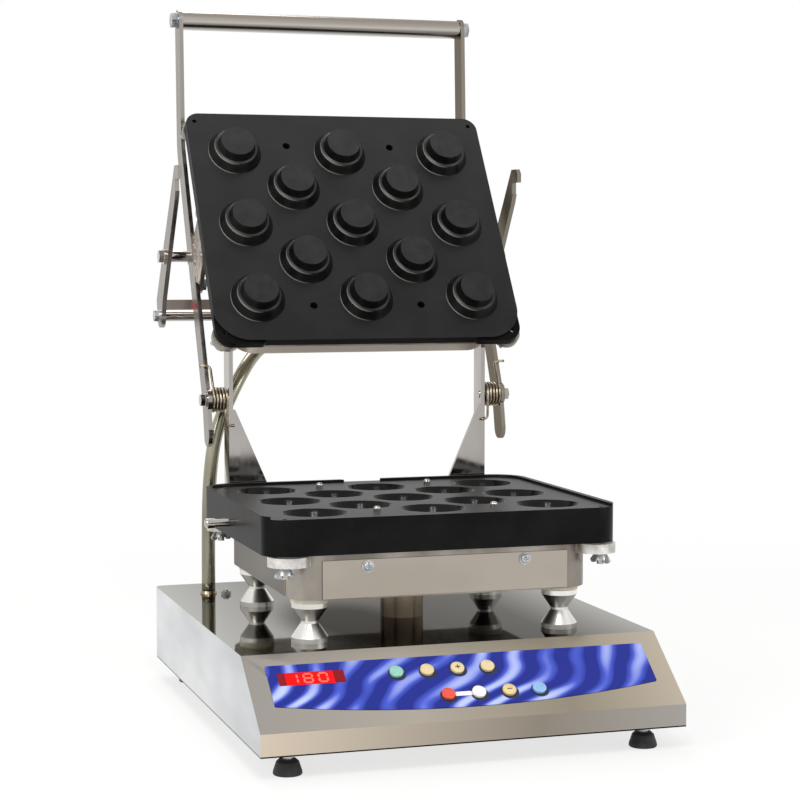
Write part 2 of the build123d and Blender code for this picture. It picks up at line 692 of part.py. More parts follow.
mounts = []
mount_seat = cover_face + cover_sheet
mount_bite = 10.0
for side_sign in (-1, 1):
    for x, z in mount_places:
        standoff = rod_z(0, 0, -post_front, -mount_seat, 7)
        standoff += rod_z(0, 0, -post_front - post_sheet, mount_bite - mount_seat, mount_radius)
        standoff += rod_z(0, 0, -post_front - post_sheet - 4, -post_front - post_sheet, 5)
        mounts.append(Pos(side_sign * x, 0, z) * Rot(90, 0, 0) * standoff)
parts["stand_bolts"] = Compound(base_bolts + mounts)
for side_sign in (-1, 1):
    for x, z in mount_places:
        bore = Pos(side_sign * x, mount_seat, z) * Rot(90, 0, 0) * Cylinder(mount_radius, 2 * mount_bite)
        parts["lower_casting"] -= bore
        back_cover_plate -= bore
parts["lower_covers"] = Compound([front_cover_plate, back_cover_plate] + side_covers)

# Hinge pins: pressed into the post, with a collar inside the spring, a journal, a washer and a head
bar_out = bar_x + bar_thickness
hinge_pin = rod_x(hinge_point, post_x - 0.5, bar_out + 1, hinge_pin_radius)
hinge_pin += rod_x(hinge_point, post_x + post_sheet, bar_x - 2 * running, collar_radius)
hinge_pin += rod_x(hinge_point, bar_out + 2 * running, bar_out + 1.3, hinge_washer)
hinge_pin += hex_x(hinge_point, bar_out + 1.3, bar_out + 5.5, hinge_head_flats)
parts["hinge_pins"] = Compound([mirror(hinge_pin, Plane.YZ), hinge_pin])

# Side bars: one flat bar each, from a short tail past the hinge up to the grip. They pass behind
# the open head's upper wing nuts with a gap: above a low bend they stand nearly upright there, and
# below a high bend they lean back further, so that they are clear at the nuts' lowest point
front_nut = (head_plane * Pos(0, corner_stud_y, upper_seat)).position
clear_run = front_nut.Y + wing_span + nut_gap + bar_width / 2 - cross_y
nut_low = front_nut.Z - wing_span
tail_point = (tail_y, mould_top + tail_rise)
cross_point = (cross_y, hinge_z)
bend_z = mould_top + bend_rise
lean_share = max(1.0, (bend_z - hinge_z) / (nut_low - hinge_z))
bend_point = (cross_y + clear_run * lean_share, bend_z)
grip_point = (bend_point[0] + grip_run, mould_top + grip_rise)
centre_line = FilletPolyline(tail_point, cross_point, bend_point, grip_point, radius=bend_radius)
bar_face = trace(centre_line, bar_width)
bar_face += Pos(*tail_point) * Circle(bar_width / 2)
bar_face += Pos(*grip_point) * Circle(bar_width / 2)
bar_face += Pos(*hinge_point) * Circle(bar_width / 2)
bar_face += Pos(*latch_point) * Circle(bar_width / 2 - 2)
bar_face -= Pos(*hinge_point) * Circle(hinge_pin_radius + running)
bar_face -= Pos(*latch_point) * Circle(stud_radius)
bar_face -= Pos(*grip_point) * Circle(stud_radius)
bar_slope = (bend_point[0] - cross_point[0]) / (bend_point[1] - cross_point[1])


def bar_centre(z):
    """The side bar's middle in the side view, at a height between the hinge and the bend."""
    return cross_point[0] + (z - cross_point[1]) * bar_slope


link_z = latch_z - link_drop
link_point = (bar_centre(link_z), link_z)
bar_face -= Pos(*link_point) * Circle(corner_stud_radius)
side_bar = side_plate(bar_face, bar_x, bar_out)
parts["side_bar_left"] = mirror(side_bar, Plane.YZ)
parts["side_bar_right"] = side_bar

# Pads: a rubber stop on the left tail, and a band on each bar at the height of the crossbar
pad_back = tail_point[0] - bar_width / 2
tail_pad = block(-bar_out, -bar_x, pad_back - pad_depth, pad_back, tail_point[1],
                 tail_point[1] + pad_height)
band_half = bar_width / 2 * math.sqrt(1 + bar_slope ** 2)
band_low = mould_top + band_rise - band_height / 2
band_high = band_low + band_height
band_line = [(bar_centre(band_low) - band_half, band_low), (bar_centre(band_low) + band_half, band_low),
             (bar_centre(band_high) + band_half, band_high), (bar_centre(band_high) - band_half, band_high)]
band = side_plate(make_face(Polyline(*band_line, close=True)), bar_out, bar_out + 1.5)
parts["bar_pads"] = Compound([tail_pad, mirror(band, Plane.YZ), band])

# Grip: a round bar between the side bars, held by a hexagon bolt at each end
grip = rod_x(grip_point, -bar_x, bar_x, grip_radius)
for end in (-1, 1):
    grip -= rod_x(grip_point, end * (bar_x - grip_bite), end * (bar_x + 1), stud_radius)
parts["grip_bar"] = grip
grip_bolt = rod_x(grip_point, bar_x - grip_bite, bar_out, stud_radius)
grip_bolt += rod_x(grip_point, bar_out, bar_out + 1.2, 7.5)
grip_bolt += hex_x(grip_point, bar_out + 1.2, bar_out + 6, nut_flats)

# Head brackets: a plate from the pivot and the side bar down to two bosses on the casting's side
side_y = (0, -math.cos(travel), math.sin(travel))
head_side = Plane(origin=(0, head_y, head_z), x_dir=side_y, z_dir=(1, 0, 0))
pivot_local = head_side.to_local_coords(Vector(0, *latch_point))
link_local = head_side.to_local_coords(Vector(0, *link_point))
boss_w = -upper_thickness - boss_radius - 2 * clearance
boss_places = [(boss_front, boss_w), (boss_back, boss_w)]
bracket_places = [(pivot_local.X, pivot_local.Y, 10.0), (link_local.X, link_local.Y, 8.0)]
bracket_places += [(x, y, boss_radius) for x, y in boss_places]
bracket_edges = []
for x, y, radius in bracket_places:
    bracket_edges += (Pos(x, y) * Circle(radius)).edges()
bracket_face = make_hull(bracket_edges)
bracket_face -= Pos(pivot_local.X, pivot_local.Y) * Circle(stud_radius)
bracket_face -= Pos(link_local.X, link_local.Y) * Circle(corner_stud_radius)
bracket_in = bar_x - 4.0
head_bracket = Pos(0, 0, bracket_in) * extrude(bracket_face, 4.0)
for x, y in boss_places:
    head_bracket += Pos(x, y, casting_x) * extrude(Circle(boss_radius), bracket_in - casting_x)
    head_bracket -= Pos(x, y, casting_x) * extrude(Circle(boss_bolt_radius), 2 * boss_bite, both=True)
head_bracket = head_side * head_bracket
parts["head_brackets"] = Compound([mirror(head_bracket, Plane.YZ), head_bracket])
boss_bolts = []
for x, y in boss_places:
    bolt = Pos(x, y, casting_x - boss_bite) * extrude(Circle(boss_bolt_radius),
                                                      bar_x - casting_x + boss_bite)
    bolt += Pos(x, y, bar_x) * extrude(RegularPolygon(bolt_flats / 2, 6, major_radius=False), 3.5)
    boss_bolts.append(head_side * bolt)
link_bolt = rod_x(link_point, bracket_in, bar_out, corner_stud_radius)
link_bolt += hex_x(link_point, bracket_in - 4, bracket_in, 10)
right_bolts = [grip_bolt, link_bolt] + boss_bolts
parts["lid_bolts"] = Compound([mirror(bolt, Plane.YZ) for bolt in right_bolts] + right_bolts)
for x, y in boss_places:
    for end in (-1, 1):
        bore = Pos(x, y, end * (casting_x - boss_bite / 2)) * Cylinder(boss_bolt_radius, boss_bite)
        bore = head_side * bore
        parts["upper_casting"] -= bore

# Pivot rods of the latch: clamped through the bar and the bracket, with a journal for the hook
hook_in = hook_x
hook_out = hook_x + hook_thickness
pivot = rod_x(latch_point, bracket_in - pivot_nut_inner, hook_out + 1, stud_radius)
pivot += rod_x(latch_point, bar_out, hook_in - 2 * running, rod_radius)
pivot += hex_x(latch_point, bracket_in - pivot_nut_inner, bracket_in, nut_flats)
pivot += rod_x(latch_point, hook_out + 2 * running, hook_out + 1.5, pivot_washer)
pivot += hex_x(latch_point, hook_out + 1.5, hook_out + pivot_nut_end, nut_flats - 2)
parts["latch_pivots"] = Compound([mirror(pivot, Plane.YZ), pivot])

# Hooks: a flat bar from the tie rod up past the pivot, with a mouth that opens to the front
mouth_z = mould_top + mouth_rise
mouth_low = mouth_z - mouth_height / 2
mouth_high = mouth_z + mouth_height / 2
mouth_front = mouth_back - mouth_depth
crown_z = mouth_high + crown_height
knee_z = latch_z + knee_height
elbow_z = mould_top + tie_rise + elbow_height
tie_point = (tie_y, mould_top + tie_rise)
hook_line = [(mouth_front + 0.5, mouth_high), (mouth_front, mouth_high + 7.7),
             (mouth_front + 4, crown_z), (mouth_back + 2.6, crown_z),
             (mouth_back + 24.6, mouth_low - 8), (latch_y + 4.8, knee_z),
             (tie_y + hook_waist / 2 - 0.3, elbow_z), (tie_y + hook_width / 2, tie_point[1]),
             (tie_y - hook_width / 2, tie_point[1]), (tie_y - hook_waist / 2 - 0.3, elbow_z),
             (latch_y + 4.8 - hook_neck, knee_z), (mouth_back + 1.6, mouth_low - 8),
             (mouth_back - 2, mouth_low), (mouth_back, mouth_low), (mouth_back, mouth_high)]
hook_face = make_face(Polyline(*hook_line, close=True))
hook_face += Pos(*tie_point) * Circle(hook_width / 2)
hook_face -= Pos(*latch_point) * Circle(stud_radius + running)
hook_face -= Pos(*tie_point) * Circle(corner_stud_radius)
hook = side_plate(hook_face, hook_in, hook_out)
parts["hook_left"] = mirror(hook, Plane.YZ)
parts["hook_right"] = hook
tie = rod_x(tie_point, -hook_in, hook_in, tie_radius)
for end in (-1, 1):
    tie -= rod_x(tie_point, end * (hook_in - grip_bite), end * (hook_in + 1), corner_stud_radius)
parts["tie_rod"] = tie
tie_bolt = rod_x(tie_point, hook_in - grip_bite, hook_out, corner_stud_radius)
tie_bolt += rod_x(tie_point, hook_out, hook_out + 1.2, tie_washer)
tie_bolt += hex_x(tie_point, hook_out + 1.2, hook_out + tie_head_end, tie_flats)
parts["tie_bolts"] = Compound([mirror(tie_bolt, Plane.YZ), tie_bolt])
crossbar_z = mould_top + crossbar_rise
parts["crossbar"] = block(-hook_in, hook_in, crossbar_y, crossbar_y + crossbar_sheet,
                          crossbar_z, crossbar_z + crossbar_height)


def biarc(start, start_way, end, end_way):
    """Two arcs that leave a point one way and arrive at the next another way."""
    chord = end - start
    ways = start_way + end_way
    flat = 2 * (1 - start_way.dot(end_way))
    reach = (math.sqrt(chord.dot(ways) ** 2 + flat * chord.dot(chord)) - chord.dot(ways)) / flat
    middle = (start + end + (start_way - end_way) * reach) * 0.5
    middle_way = ((end - end_way * reach) - (start + start_way * reach)).normalized()
    return [TangentArc(start, middle, tangent=start_way), TangentArc(middle, end, tangent=middle_way)]


# Hinge springs: from a hook over the bar's front edge, down into the turns and out to a hook
# over the post's front edge. The last hooks are round quarter bends.
spring_pitch = wire + spring_gap
bar_edge_z = hinge_z + 27
upper_bend = (bar_centre(bar_edge_z) - band_half - wire / 2 - 1.4, bar_edge_z)
lower_bend = (post_front - wire / 2 - 1.0, hinge_z - 19)
spring_out = bar_x - wire / 2 - 0.4


def tangent_angle(point, side_sign):
    """The angle on the coil where a straight leg to a point touches it."""
    dy = point[0] - hinge_y
    dz = point[1] - hinge_z
    return math.atan2(dz, dy) + side_sign * math.acos(spring_radius / math.hypot(dy, dz))


first_angle = tangent_angle(upper_bend, 1)
last_angle = tangent_angle(lower_bend, -1)
while last_angle < first_angle:
    last_angle += 2 * math.pi
last_angle += 2 * math.pi * spring_turns
steps = math.ceil((last_angle - first_angle) / (math.pi / 2))


def coil_point(angle):
    """A point of the coil's centre line, moving inwards as the angle grows."""
    x = spring_out - spring_pitch * (angle - first_angle) / (2 * math.pi)
    return Vector(x, hinge_y + spring_radius * math.cos(angle), hinge_z + spring_radius * math.sin(angle))


def coil_way(angle, slope):
    """The direction of the wire there."""
    return Vector(-slope, -math.sin(angle), math.cos(angle)).normalized()


helix_slope = spring_pitch / (2 * math.pi * spring_radius)
hook_bend = 4.0
hook_run = 6.0
coil_start = coil_point(first_angle)
start_way = coil_way(first_angle, 0)
coil_end = coil_point(last_angle)
end_way = coil_way(last_angle, 0)
out_way = Vector(1, 0, 0)
leg_top = Vector(spring_out, *upper_bend)
leg_foot = Vector(coil_end.X, *lower_bend)
bend_start = leg_top + (out_way - start_way) * hook_bend
spring_edges = [Line(bend_start + out_way * hook_run, bend_start)]
spring_edges.append(TangentArc(bend_start, leg_top, tangent=-out_way))
spring_edges.append(Line(leg_top, coil_start))
angles = [first_angle + (last_angle - first_angle) * step / steps for step in range(steps + 1)]
for index in range(steps):
    slope_in = 0 if index == 0 else helix_slope
    slope_out = 0 if index == steps - 1 else helix_slope
    spring_edges += biarc(coil_point(angles[index]), coil_way(angles[index], slope_in),
                          coil_point(angles[index + 1]), coil_way(angles[index + 1], slope_out))
spring_edges.append(Line(coil_end, leg_foot))
foot_end = leg_foot + (end_way - out_way) * hook_bend
spring_edges.append(TangentArc(leg_foot, foot_end, tangent=end_way))
spring_edges.append(Line(foot_end, foot_end - out_way * wire))
spring_wire = Wire(spring_edges)
spring_start = spring_edges[0] @ 0
wire_face = Plane(origin=spring_start, z_dir=-out_way) * Circle(wire / 2)
spring = sweep(wire_face, path=spring_wire)
parts["hinge_spring_left"] = mirror(spring, Plane.YZ)
parts["hinge_spring_right"] = spring

samples = []
for edge in spring_edges:
    count = max(2, int(edge.length / 0.6))
    samples += [edge @ ((index + 0.5) / count) for index in range(count)]
least = min((samples[i] - samples[j]).length for i in range(len(samples))
            for j in range(i + 12, len(samples)))
print("hinge spring: least gap to itself", round(least - wire, 3))
print("hinge spring: volume over section times length",
      round(spring.volume / (math.pi * wire ** 2 / 4 * spring_wire.length), 4))


# Hose between the base and the head, with a low gland at each end
def gland():
    """A sleeve nut on a sheet at Z = 0: a low cone round the hose and a stub through the sheet."""
    nut = Cone(gland_radius, hose_radius + 0.8, gland_height,
               align=(Align.CENTER, Align.CENTER, Align.MIN))
    return nut + rod_z(0, 0, -2 * sheet, 0, gland_radius - 2.2)


parts["hose_gland_base"] = Pos(gland_x, gland_y, base_top) * gland()
head_gland = Pos(head_gland_x, head_gland_v, head_back) * Rot(180, 0, 0) * gland()
parts["hose_gland_head"] = head_plane * head_gland
hose_end = Vector(head_gland_x, head_gland_v, head_back - gland_height)
hose_near = head_plane.from_local_coords(hose_end - Vector(0, 0, hose_stub))
hose_end = head_plane.from_local_coords(hose_end)
hose_route = [Vector(gland_x, gland_y, base_top + gland_height), Vector(gland_x, gland_y, 140),
              Vector(-134.2, 165.2, 188), Vector(-128.5, 166.0, 232), Vector(-113.5, 168.0, 266),
              Vector(-97.0, 178.0, 292), Vector(-81.0, 195.0, 307), Vector(-64.0, 202.0, 316),
              hose_near, hose_end]
hose_radii = []
for before, here, after in zip(hose_route, hose_route[1:], hose_route[2:]):
    turn = math.radians((here - before).get_angle(after - here))
    shorter = min((here - before).length, (after - here).length)
    hose_radii.append(0.45 * shorter / math.tan(turn / 2))
print("hose: radii", [round(radius) for radius in hose_radii])
hose_path = FilletPolyline(*hose_route, radius=hose_radii)
hose = sweep(Plane(origin=hose_path @ 0, z_dir=hose_path % 0) * Circle(hose_radius), path=hose_path)
parts["hose"] = hose
print("hose: length", round(hose_path.length), "volume ratio",
      round(hose.volume / (math.pi * hose_radius ** 2 * hose_path.length), 4))

# Every part moves so that the origin is the middle of the whole machine on the floor
rear = grip_point[0] + bar_width / 2
middle_y = (rear - base_front) / 2
os.makedirs("parts", exist_ok=True)
for name, shape in parts.items():
    export_step(Pos(0, -middle_y, 0) * shape, "parts/" + name + ".step")
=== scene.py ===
import math

import bpy
import numpy as np
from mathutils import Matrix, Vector


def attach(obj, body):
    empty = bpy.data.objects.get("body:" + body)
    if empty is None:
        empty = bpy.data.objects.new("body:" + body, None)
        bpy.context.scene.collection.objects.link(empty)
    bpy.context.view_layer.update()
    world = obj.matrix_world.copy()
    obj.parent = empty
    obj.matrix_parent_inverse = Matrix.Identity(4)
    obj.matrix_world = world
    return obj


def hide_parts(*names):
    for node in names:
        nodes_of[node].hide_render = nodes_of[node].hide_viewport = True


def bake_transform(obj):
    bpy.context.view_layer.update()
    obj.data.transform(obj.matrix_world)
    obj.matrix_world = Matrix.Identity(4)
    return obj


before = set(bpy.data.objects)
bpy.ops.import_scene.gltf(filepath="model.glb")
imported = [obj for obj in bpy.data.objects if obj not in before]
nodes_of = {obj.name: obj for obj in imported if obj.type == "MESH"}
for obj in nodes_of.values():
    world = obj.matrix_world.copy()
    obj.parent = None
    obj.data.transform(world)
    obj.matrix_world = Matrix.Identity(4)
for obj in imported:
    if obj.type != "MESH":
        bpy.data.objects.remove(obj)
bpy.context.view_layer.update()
scene = bpy.context.scene
scene.view_settings.view_transform = "Standard"

# Camera, lamps and floor. The camera stands low and to the left of the machine, as the
# photographer did. Three broad lamps light the machine from the left, the right and above, and
# two narrow ones high in front draw bright lines in the cavities. The floor is pale paper.
camera_dip = 0.072
camera_turn = -0.307
camera_data = bpy.data.cameras.new("camera")
camera_data.lens = 92.2
camera_data.sensor_width = 36.0
camera = bpy.data.objects.new("camera", camera_data)
camera.location = (-0.5321, -1.7046, 0.3979)
camera.rotation_euler = (math.pi / 2 - camera_dip, 0.0, camera_turn)
scene.collection.objects.link(camera)
scene.camera = camera
machine_middle = Vector((0.0, 0.0, 0.25))


def soft_box(name, place, wide, high, power):
    """A flat lamp at a place, turned to the middle of the machine."""
    lamp = bpy.data.lights.new(name, "AREA")
    lamp.shape = "RECTANGLE"
    lamp.size = wide
    lamp.size_y = high
    lamp.energy = power
    held = bpy.data.objects.new(name, lamp)
    held.location = place
    aim = machine_middle - Vector(place)
    held.rotation_euler = aim.to_track_quat("-Z", "Y").to_euler()
    scene.collection.objects.link(held)


soft_box("lamp_left", (-1.7, -1.1, 1.3), 0.9, 0.9, 15)
soft_box("lamp_right", (1.4, -1.2, 0.9), 0.8, 0.8, 7)
soft_box("lamp_strip_left", (-0.53, -1.145, 1.45), 0.04, 0.5, 6)
soft_box("lamp_strip_right", (-0.224, -1.241, 1.45), 0.04, 0.5, 6)
soft_box("lamp_top", (-0.2, 1.1, 1.9), 1.2, 0.9, 16)


def plug(made, port, source):
    """Joins a source to a port of a node, or sets the port to one value or colour."""
    if isinstance(source, bpy.types.NodeSocket):
        made.node_tree.links.new(source, port)
    elif port.type == "RGBA":
        port.default_value = (*source, 1)
    else:
        port.default_value = source


def node(made, kind, sources, **settings):
    """A new node, with its own settings, and a source or a value for each port that is named."""
    new = made.node_tree.nodes.new("ShaderNode" + kind)
    for setting, value in settings.items():
        setattr(new, setting, value)
    for port, source in sources.items():
        plug(made, new.inputs[port], source)
    return new


def work(made, operation, *sources):
    """The result of one operation on sources and numbers, such as MAXIMUM or COMPARE."""
    return node(made, "Math", dict(enumerate(sources)), operation=operation).outputs[0]


def white_to_the_lens(made):
    """1 for rays from the lens and from metal or glass, and 0 for rays that carry soft light."""
    rays = node(made, "LightPath", {}).outputs
    seen = work(made, "MAXIMUM", rays["Is Camera Ray"], rays["Is Glossy Ray"])
    return work(made, "MAXIMUM", seen, rays["Is Transmission Ray"])


def show(made, end, share, first, second):
    """The last node shows the first shader, and the second one by a share from 0 to 1."""
    mixed = node(made, "MixShader", {"Fac": share, 1: first.outputs[0], 2: second.outputs[0]})
    plug(made, made.node_tree.nodes[end].inputs["Surface"], mixed.outputs[0])


world = bpy.data.worlds.new("studio")
scene.world = world
world.use_nodes = True
room_light = world.node_tree.nodes["Background"]
plug(world, room_light.inputs["Color"], (1.0, 0.99, 0.97))
plug(world, room_light.inputs["Strength"], 0.55)
paper_light = node(world, "Background", {"Color": (1, 1, 1), "Strength": 1.0})
show(world, "World Output", white_to_the_lens(world), room_light, paper_light)


def link_mesh(name, corners, faces, smooth=True):
    """A new piece from its corner points and faces, at the origin, with smooth shading if wanted."""
    mesh = bpy.data.meshes.new(name)
    mesh.from_pydata(np.asarray(corners, float).tolist(), [], [list(face) for face in faces])
    mesh.polygons.foreach_set("use_smooth", np.full(len(mesh.polygons), smooth))
    mesh.update()
    piece = bpy.data.objects.new(name, mesh)
    scene.collection.objects.link(piece)
    return piece


def feed(made, socket, source):
    """Gives a socket of the material's shader a source, or one value or colour all over."""
    plug(made, made.node_tree.nodes["Principled BSDF"].inputs[socket], source)


def finish(name, colour, metal=0.0, rough=0.5):
    """A material with its colour, metalness and roughness set on the shader's own sockets."""
    made = bpy.data.materials.new(name)
    made.use_nodes = True
    feed(made, "Base Color", colour)
    feed(made, "Metallic", metal)
    feed(made, "Roughness", rough)
    return made


def point_on(made):
    """The place of each point of the piece, in metres from the origin."""
    return node(made, "TexCoord", {}).outputs["Object"]


def rescaled(made, value, low, high, start=0.0, end=1.0, curve="LINEAR"):
    """A value from low to high made one from start to end, which it keeps to beyond them."""
    sources = {"Value": value, "From Min": low, "From Max": high, "To Min": start, "To Max": end}
    return node(made, "MapRange", sources, interpolation_type=curve).outputs["Result"]


floor_half = 6.0
floor_sides = 64
shadow_near, shadow_far, glow_near = 0.35, 1.3, 0.72
floor_ring = np.linspace(0, 2 * np.pi, floor_sides, endpoint=False)
floor_rim = floor_half * np.stack([np.cos(floor_ring), np.sin(floor_ring), 0 * floor_ring], 1)
floor = link_mesh("floor", floor_rim, [range(floor_sides)], False)
paper_floor = finish("paper_floor", (0.86, 0.86, 0.85), 0.0, 0.8)
glow = node(paper_floor, "Emission", {"Color": (1, 1, 1), "Strength": 1.0})
from_centre = node(paper_floor, "VectorMath", {0: point_on(paper_floor)}, operation="LENGTH")
# Near the machine the floor keeps a part of its shadow, and further out it is as white as the room
glow_share = rescaled(paper_floor, from_centre.outputs["Value"], shadow_near, shadow_far,
                      glow_near, 1.0, "SMOOTHSTEP")
seen_share = work(paper_floor, "MULTIPLY", glow_share, white_to_the_lens(paper_floor))
show(paper_floor, "Material Output", seen_share,
     paper_floor.node_tree.nodes["Principled BSDF"], glow)
floor.data.materials.append(paper_floor)

# Hose. A smooth brass-coloured metal sleeve carries the head's wires from the gland on the base
# top to the gland on the back of the head. It leaves both glands straight and bends as one curve.
hose_route = [(-0.1357, 0.1283, 0.0878), (-0.1357, 0.1283, 0.140), (-0.1342, 0.1295, 0.188),
              (-0.1285, 0.1303, 0.232), (-0.1135, 0.1323, 0.266), (-0.097, 0.1423, 0.292),
              (-0.081, 0.1593, 0.307), (-0.064, 0.1663, 0.316), (-0.050, 0.1560, 0.3268),
              (-0.050, 0.1197, 0.3508)]
hose_thickness = 0.0125
hose_sides = 32
points_per_run = 12


def smooth_line(route, closeness):
    """Points along the NURBS curve of a cord whose control points are the route's."""
    line = bpy.data.curves.new("line", "CURVE")
    line.dimensions = "3D"
    line.resolution_u = closeness
    spline = line.splines.new("NURBS")
    spline.points.add(len(route) - 1)
    for point, place in zip(spline.points, route):
        point.co = (*place, 1)
    spline.order_u = 3
    spline.use_endpoint_u = True
    holder = bpy.data.objects.new("line", line)
    mesh = bpy.data.meshes.new_from_object(holder)
    points = np.zeros(len(mesh.vertices) * 3)
    mesh.vertices.foreach_get("co", points)
    bpy.data.objects.remove(holder)
    bpy.data.curves.remove(line)
    bpy.data.meshes.remove(mesh)
    return points.reshape(-1, 3)


def square_ways(points):
    """For each point of a line two directions square to it. The first is carried on from the point
    before by taking away its part along the line's new direction, and the second is square to
    both."""
    ways = np.gradient(points, axis=0)
    ways /= np.linalg.norm(ways, axis=1)[:, None]
    least = np.eye(3)[np.argmin(np.abs(ways[0]))]
    side = np.cross(ways[0], least)
    sides = []
    for way in ways:
        side = side - way * (side @ way)
        side = side / np.linalg.norm(side)
        sides.append(side)
    sides = np.array(sides)
    return sides, np.cross(ways, sides)


def tube(name, points, radius, around):
    """A round tube. Each ring is the line's point plus its two square directions, times the cosine
    and sine of the angle and the radius. The ends close on their middle points."""
    points = np.asarray(points, float)
    sides, ups = square_ways(points)
    angle = np.linspace(0, 2 * np.pi, around, endpoint=False)
    ring = np.cos(angle)[None, :, None] * sides[:, None] + np.sin(angle)[None, :, None] * ups[:, None]
    corners = (points[:, None] + ring * radius).reshape(-1, 3)
    row = np.arange(len(points) - 1)[:, None] * around
    here = np.arange(around)
    after = (here + 1) % around
    quads = np.stack([row + here, row + after, row + around + after, row + around + here], -1)
    first, last = len(corners), len(corners) + 1
    corners = np.vstack([corners, points[0], points[-1]])
    end = (len(points) - 1) * around
    caps = np.concatenate([np.stack([np.full(around, first), after, here], 1),
                           np.stack([np.full(around, last), end + here, end + after], 1)])
    return link_mesh(name, corners, quads.reshape(-1, 4).tolist() + caps.tolist())


def cloud(made, scale, stretch=(1, 1, 1), detail=3.0):
    """Soft noise from 0 to 1 over the piece, drawn out along an axis by a small stretch number."""
    drawn = node(made, "Mapping", {"Vector": point_on(made), "Scale": stretch})
    sources = {"Vector": drawn.outputs["Vector"], "Scale": scale, "Detail": detail}
    return node(made, "TexNoise", sources).outputs["Fac"]


def ramp(made, source, stops):
    """Colours along a source from 0 to 1: each stop is a place and the colour there."""
    shades = node(made, "ValToRGB", {"Fac": source})
    elements = shades.color_ramp.elements
    elements[0].position, elements[1].position = stops[0][0], stops[-1][0]
    for place, colour in stops[1:-1]:
        elements.new(place)
    for element, (place, colour) in zip(elements, stops):
        element.color = (*colour, 1)
    return shades.outputs["Color"]


def tones(made, source, dark, light):
    """The base colour goes from one tone to another with a source from 0 to 1."""
    blend = ramp(made, source, [(0.35, dark), (0.65, light)])
    feed(made, "Base Color", blend)
    return blend


def relief(made, source, depth):
    """Small hills of a depth in metres, from a source from 0 to 1."""
    hills = node(made, "Bump", {"Distance": depth, "Height": source})
    feed(made, "Normal", hills.outputs["Normal"])


hose_line = smooth_line(hose_route, points_per_run)
hose = tube("hose_sleeve", hose_line, hose_thickness / 2, hose_sides)
sleeve = finish("hose_brass", (0.33, 0.30, 0.20), 1.0, 0.22)
tones(sleeve, cloud(sleeve, 40.0, (1, 1, 0.2)), (0.21, 0.20, 0.145), (0.36, 0.345, 0.26))
relief(sleeve, cloud(sleeve, 900.0, (1, 1, 0.15)), 0.00004)
hose.data.materials.append(sleeve)
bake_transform(hose)
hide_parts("hose")

# Base housing and its floor plate. Stainless sheet folded to a box with a sloping front: the top
# is polished like a mirror, and the slope, the lip and the sides have a fine satin grain along
# the sheet. The top, the slope and the lip carry painted reflections that change from left to
# right. The middle of the top is painted darker, as a painted reflection of the castings over it,
# and the bottom edge is painted near black as a painted shade.
base_half = 0.175
base_top = 0.0853
lip_top = 0.0375
lip_depths = (-0.24, -0.2314)
bottom_shade_top = 0.0203
rightward, backward, upward = (1, 0, 0), (0, 1, 0), (0, 0, 1)


def ease_edges(name, width):
    """Folded and machined edges get a small round, so that they catch the light."""
    weld = nodes_of[name].modifiers.new("weld", "WELD")
    weld.merge_threshold = 1e-6
    bevel = nodes_of[name].modifiers.new("edge", "BEVEL")
    bevel.width = width
    bevel.segments = 2
    bevel.limit_method = "ANGLE"
    bevel.angle_limit = math.radians(28)
    bevel.use_clamp_overlap = True
    bevel.harden_normals = False


def coat(names, made):
    """Gives CAD nodes one finish."""
    for name in names:
        nodes_of[name].data.materials.clear()
        nodes_of[name].data.materials.append(made)


def choose(made, switch, off, on, socket):
    """One of two colours, numbers or sources for a socket of the shader, by a switch of 0 or 1.
    A Mix node has its own ports and its own result for colours and for numbers."""
    coloured = socket in ("Base Color", "Specular Tint")
    kind, port, result = ("RGBA", 6, 2) if coloured else ("FLOAT", 2, 0)
    pick = node(made, "Mix", {"Factor": switch, port: off, port + 1: on}, data_type=kind)
    feed(made, socket, pick.outputs[result])
    return pick.outputs[result]


def along(made, way):
    """How far each point of the piece lies along a direction, in metres from the origin."""
    sources = {0: point_on(made), 1: way}
    return node(made, "VectorMath", sources, operation="DOT_PRODUCT").outputs["Value"]


def between(made, value, low, high):
    """1 where a value lies between two limits, and 0 elsewhere."""
    return work(made, "COMPARE", value, (low + high) / 2, (high - low) / 2)


def where_all(made, switch, *others):
    """1 where every one of the switches is 1."""
    for other in others:
        switch = work(made, "MULTIPLY", switch, other)
    return switch


def spread(made, value, stops):
    """Colours laid out along a value: each stop is a place and the colour there."""
    low, high = stops[0][0], stops[-1][0]
    share = rescaled(made, value, low, high)
    return ramp(made, share, [((place - low) / (high - low), colour) for place, colour in stops])


def blot(made, centre, size):
    """1 at a place and fading to 0 at a distance of size along each axis."""
    away = node(made, "VectorMath", {0: point_on(made), 1: centre}, operation="SUBTRACT")
    shares = node(made, "VectorMath", {0: away.outputs[0], 1: size}, operation="DIVIDE")
    reach = node(made, "VectorMath", {0: shares.outputs[0]}, operation="LENGTH")
    return rescaled(made, reach.outputs["Value"], 1.0, 0.35, curve="SMOOTHSTEP")


def facing(made, axis):
    """How far the surface faces along an axis, from -1 to 1."""
    normal = node(made, "NewGeometry", {}).outputs["True Normal"]
    return node(made, "SeparateXYZ", {"Vector": normal}).outputs[axis]


def facing_sideways(made):
    """1 where the surface looks to the left or to the right."""
    least = 0.8
    return work(made, "GREATER_THAN", work(made, "ABSOLUTE", facing(made, "X")), least)


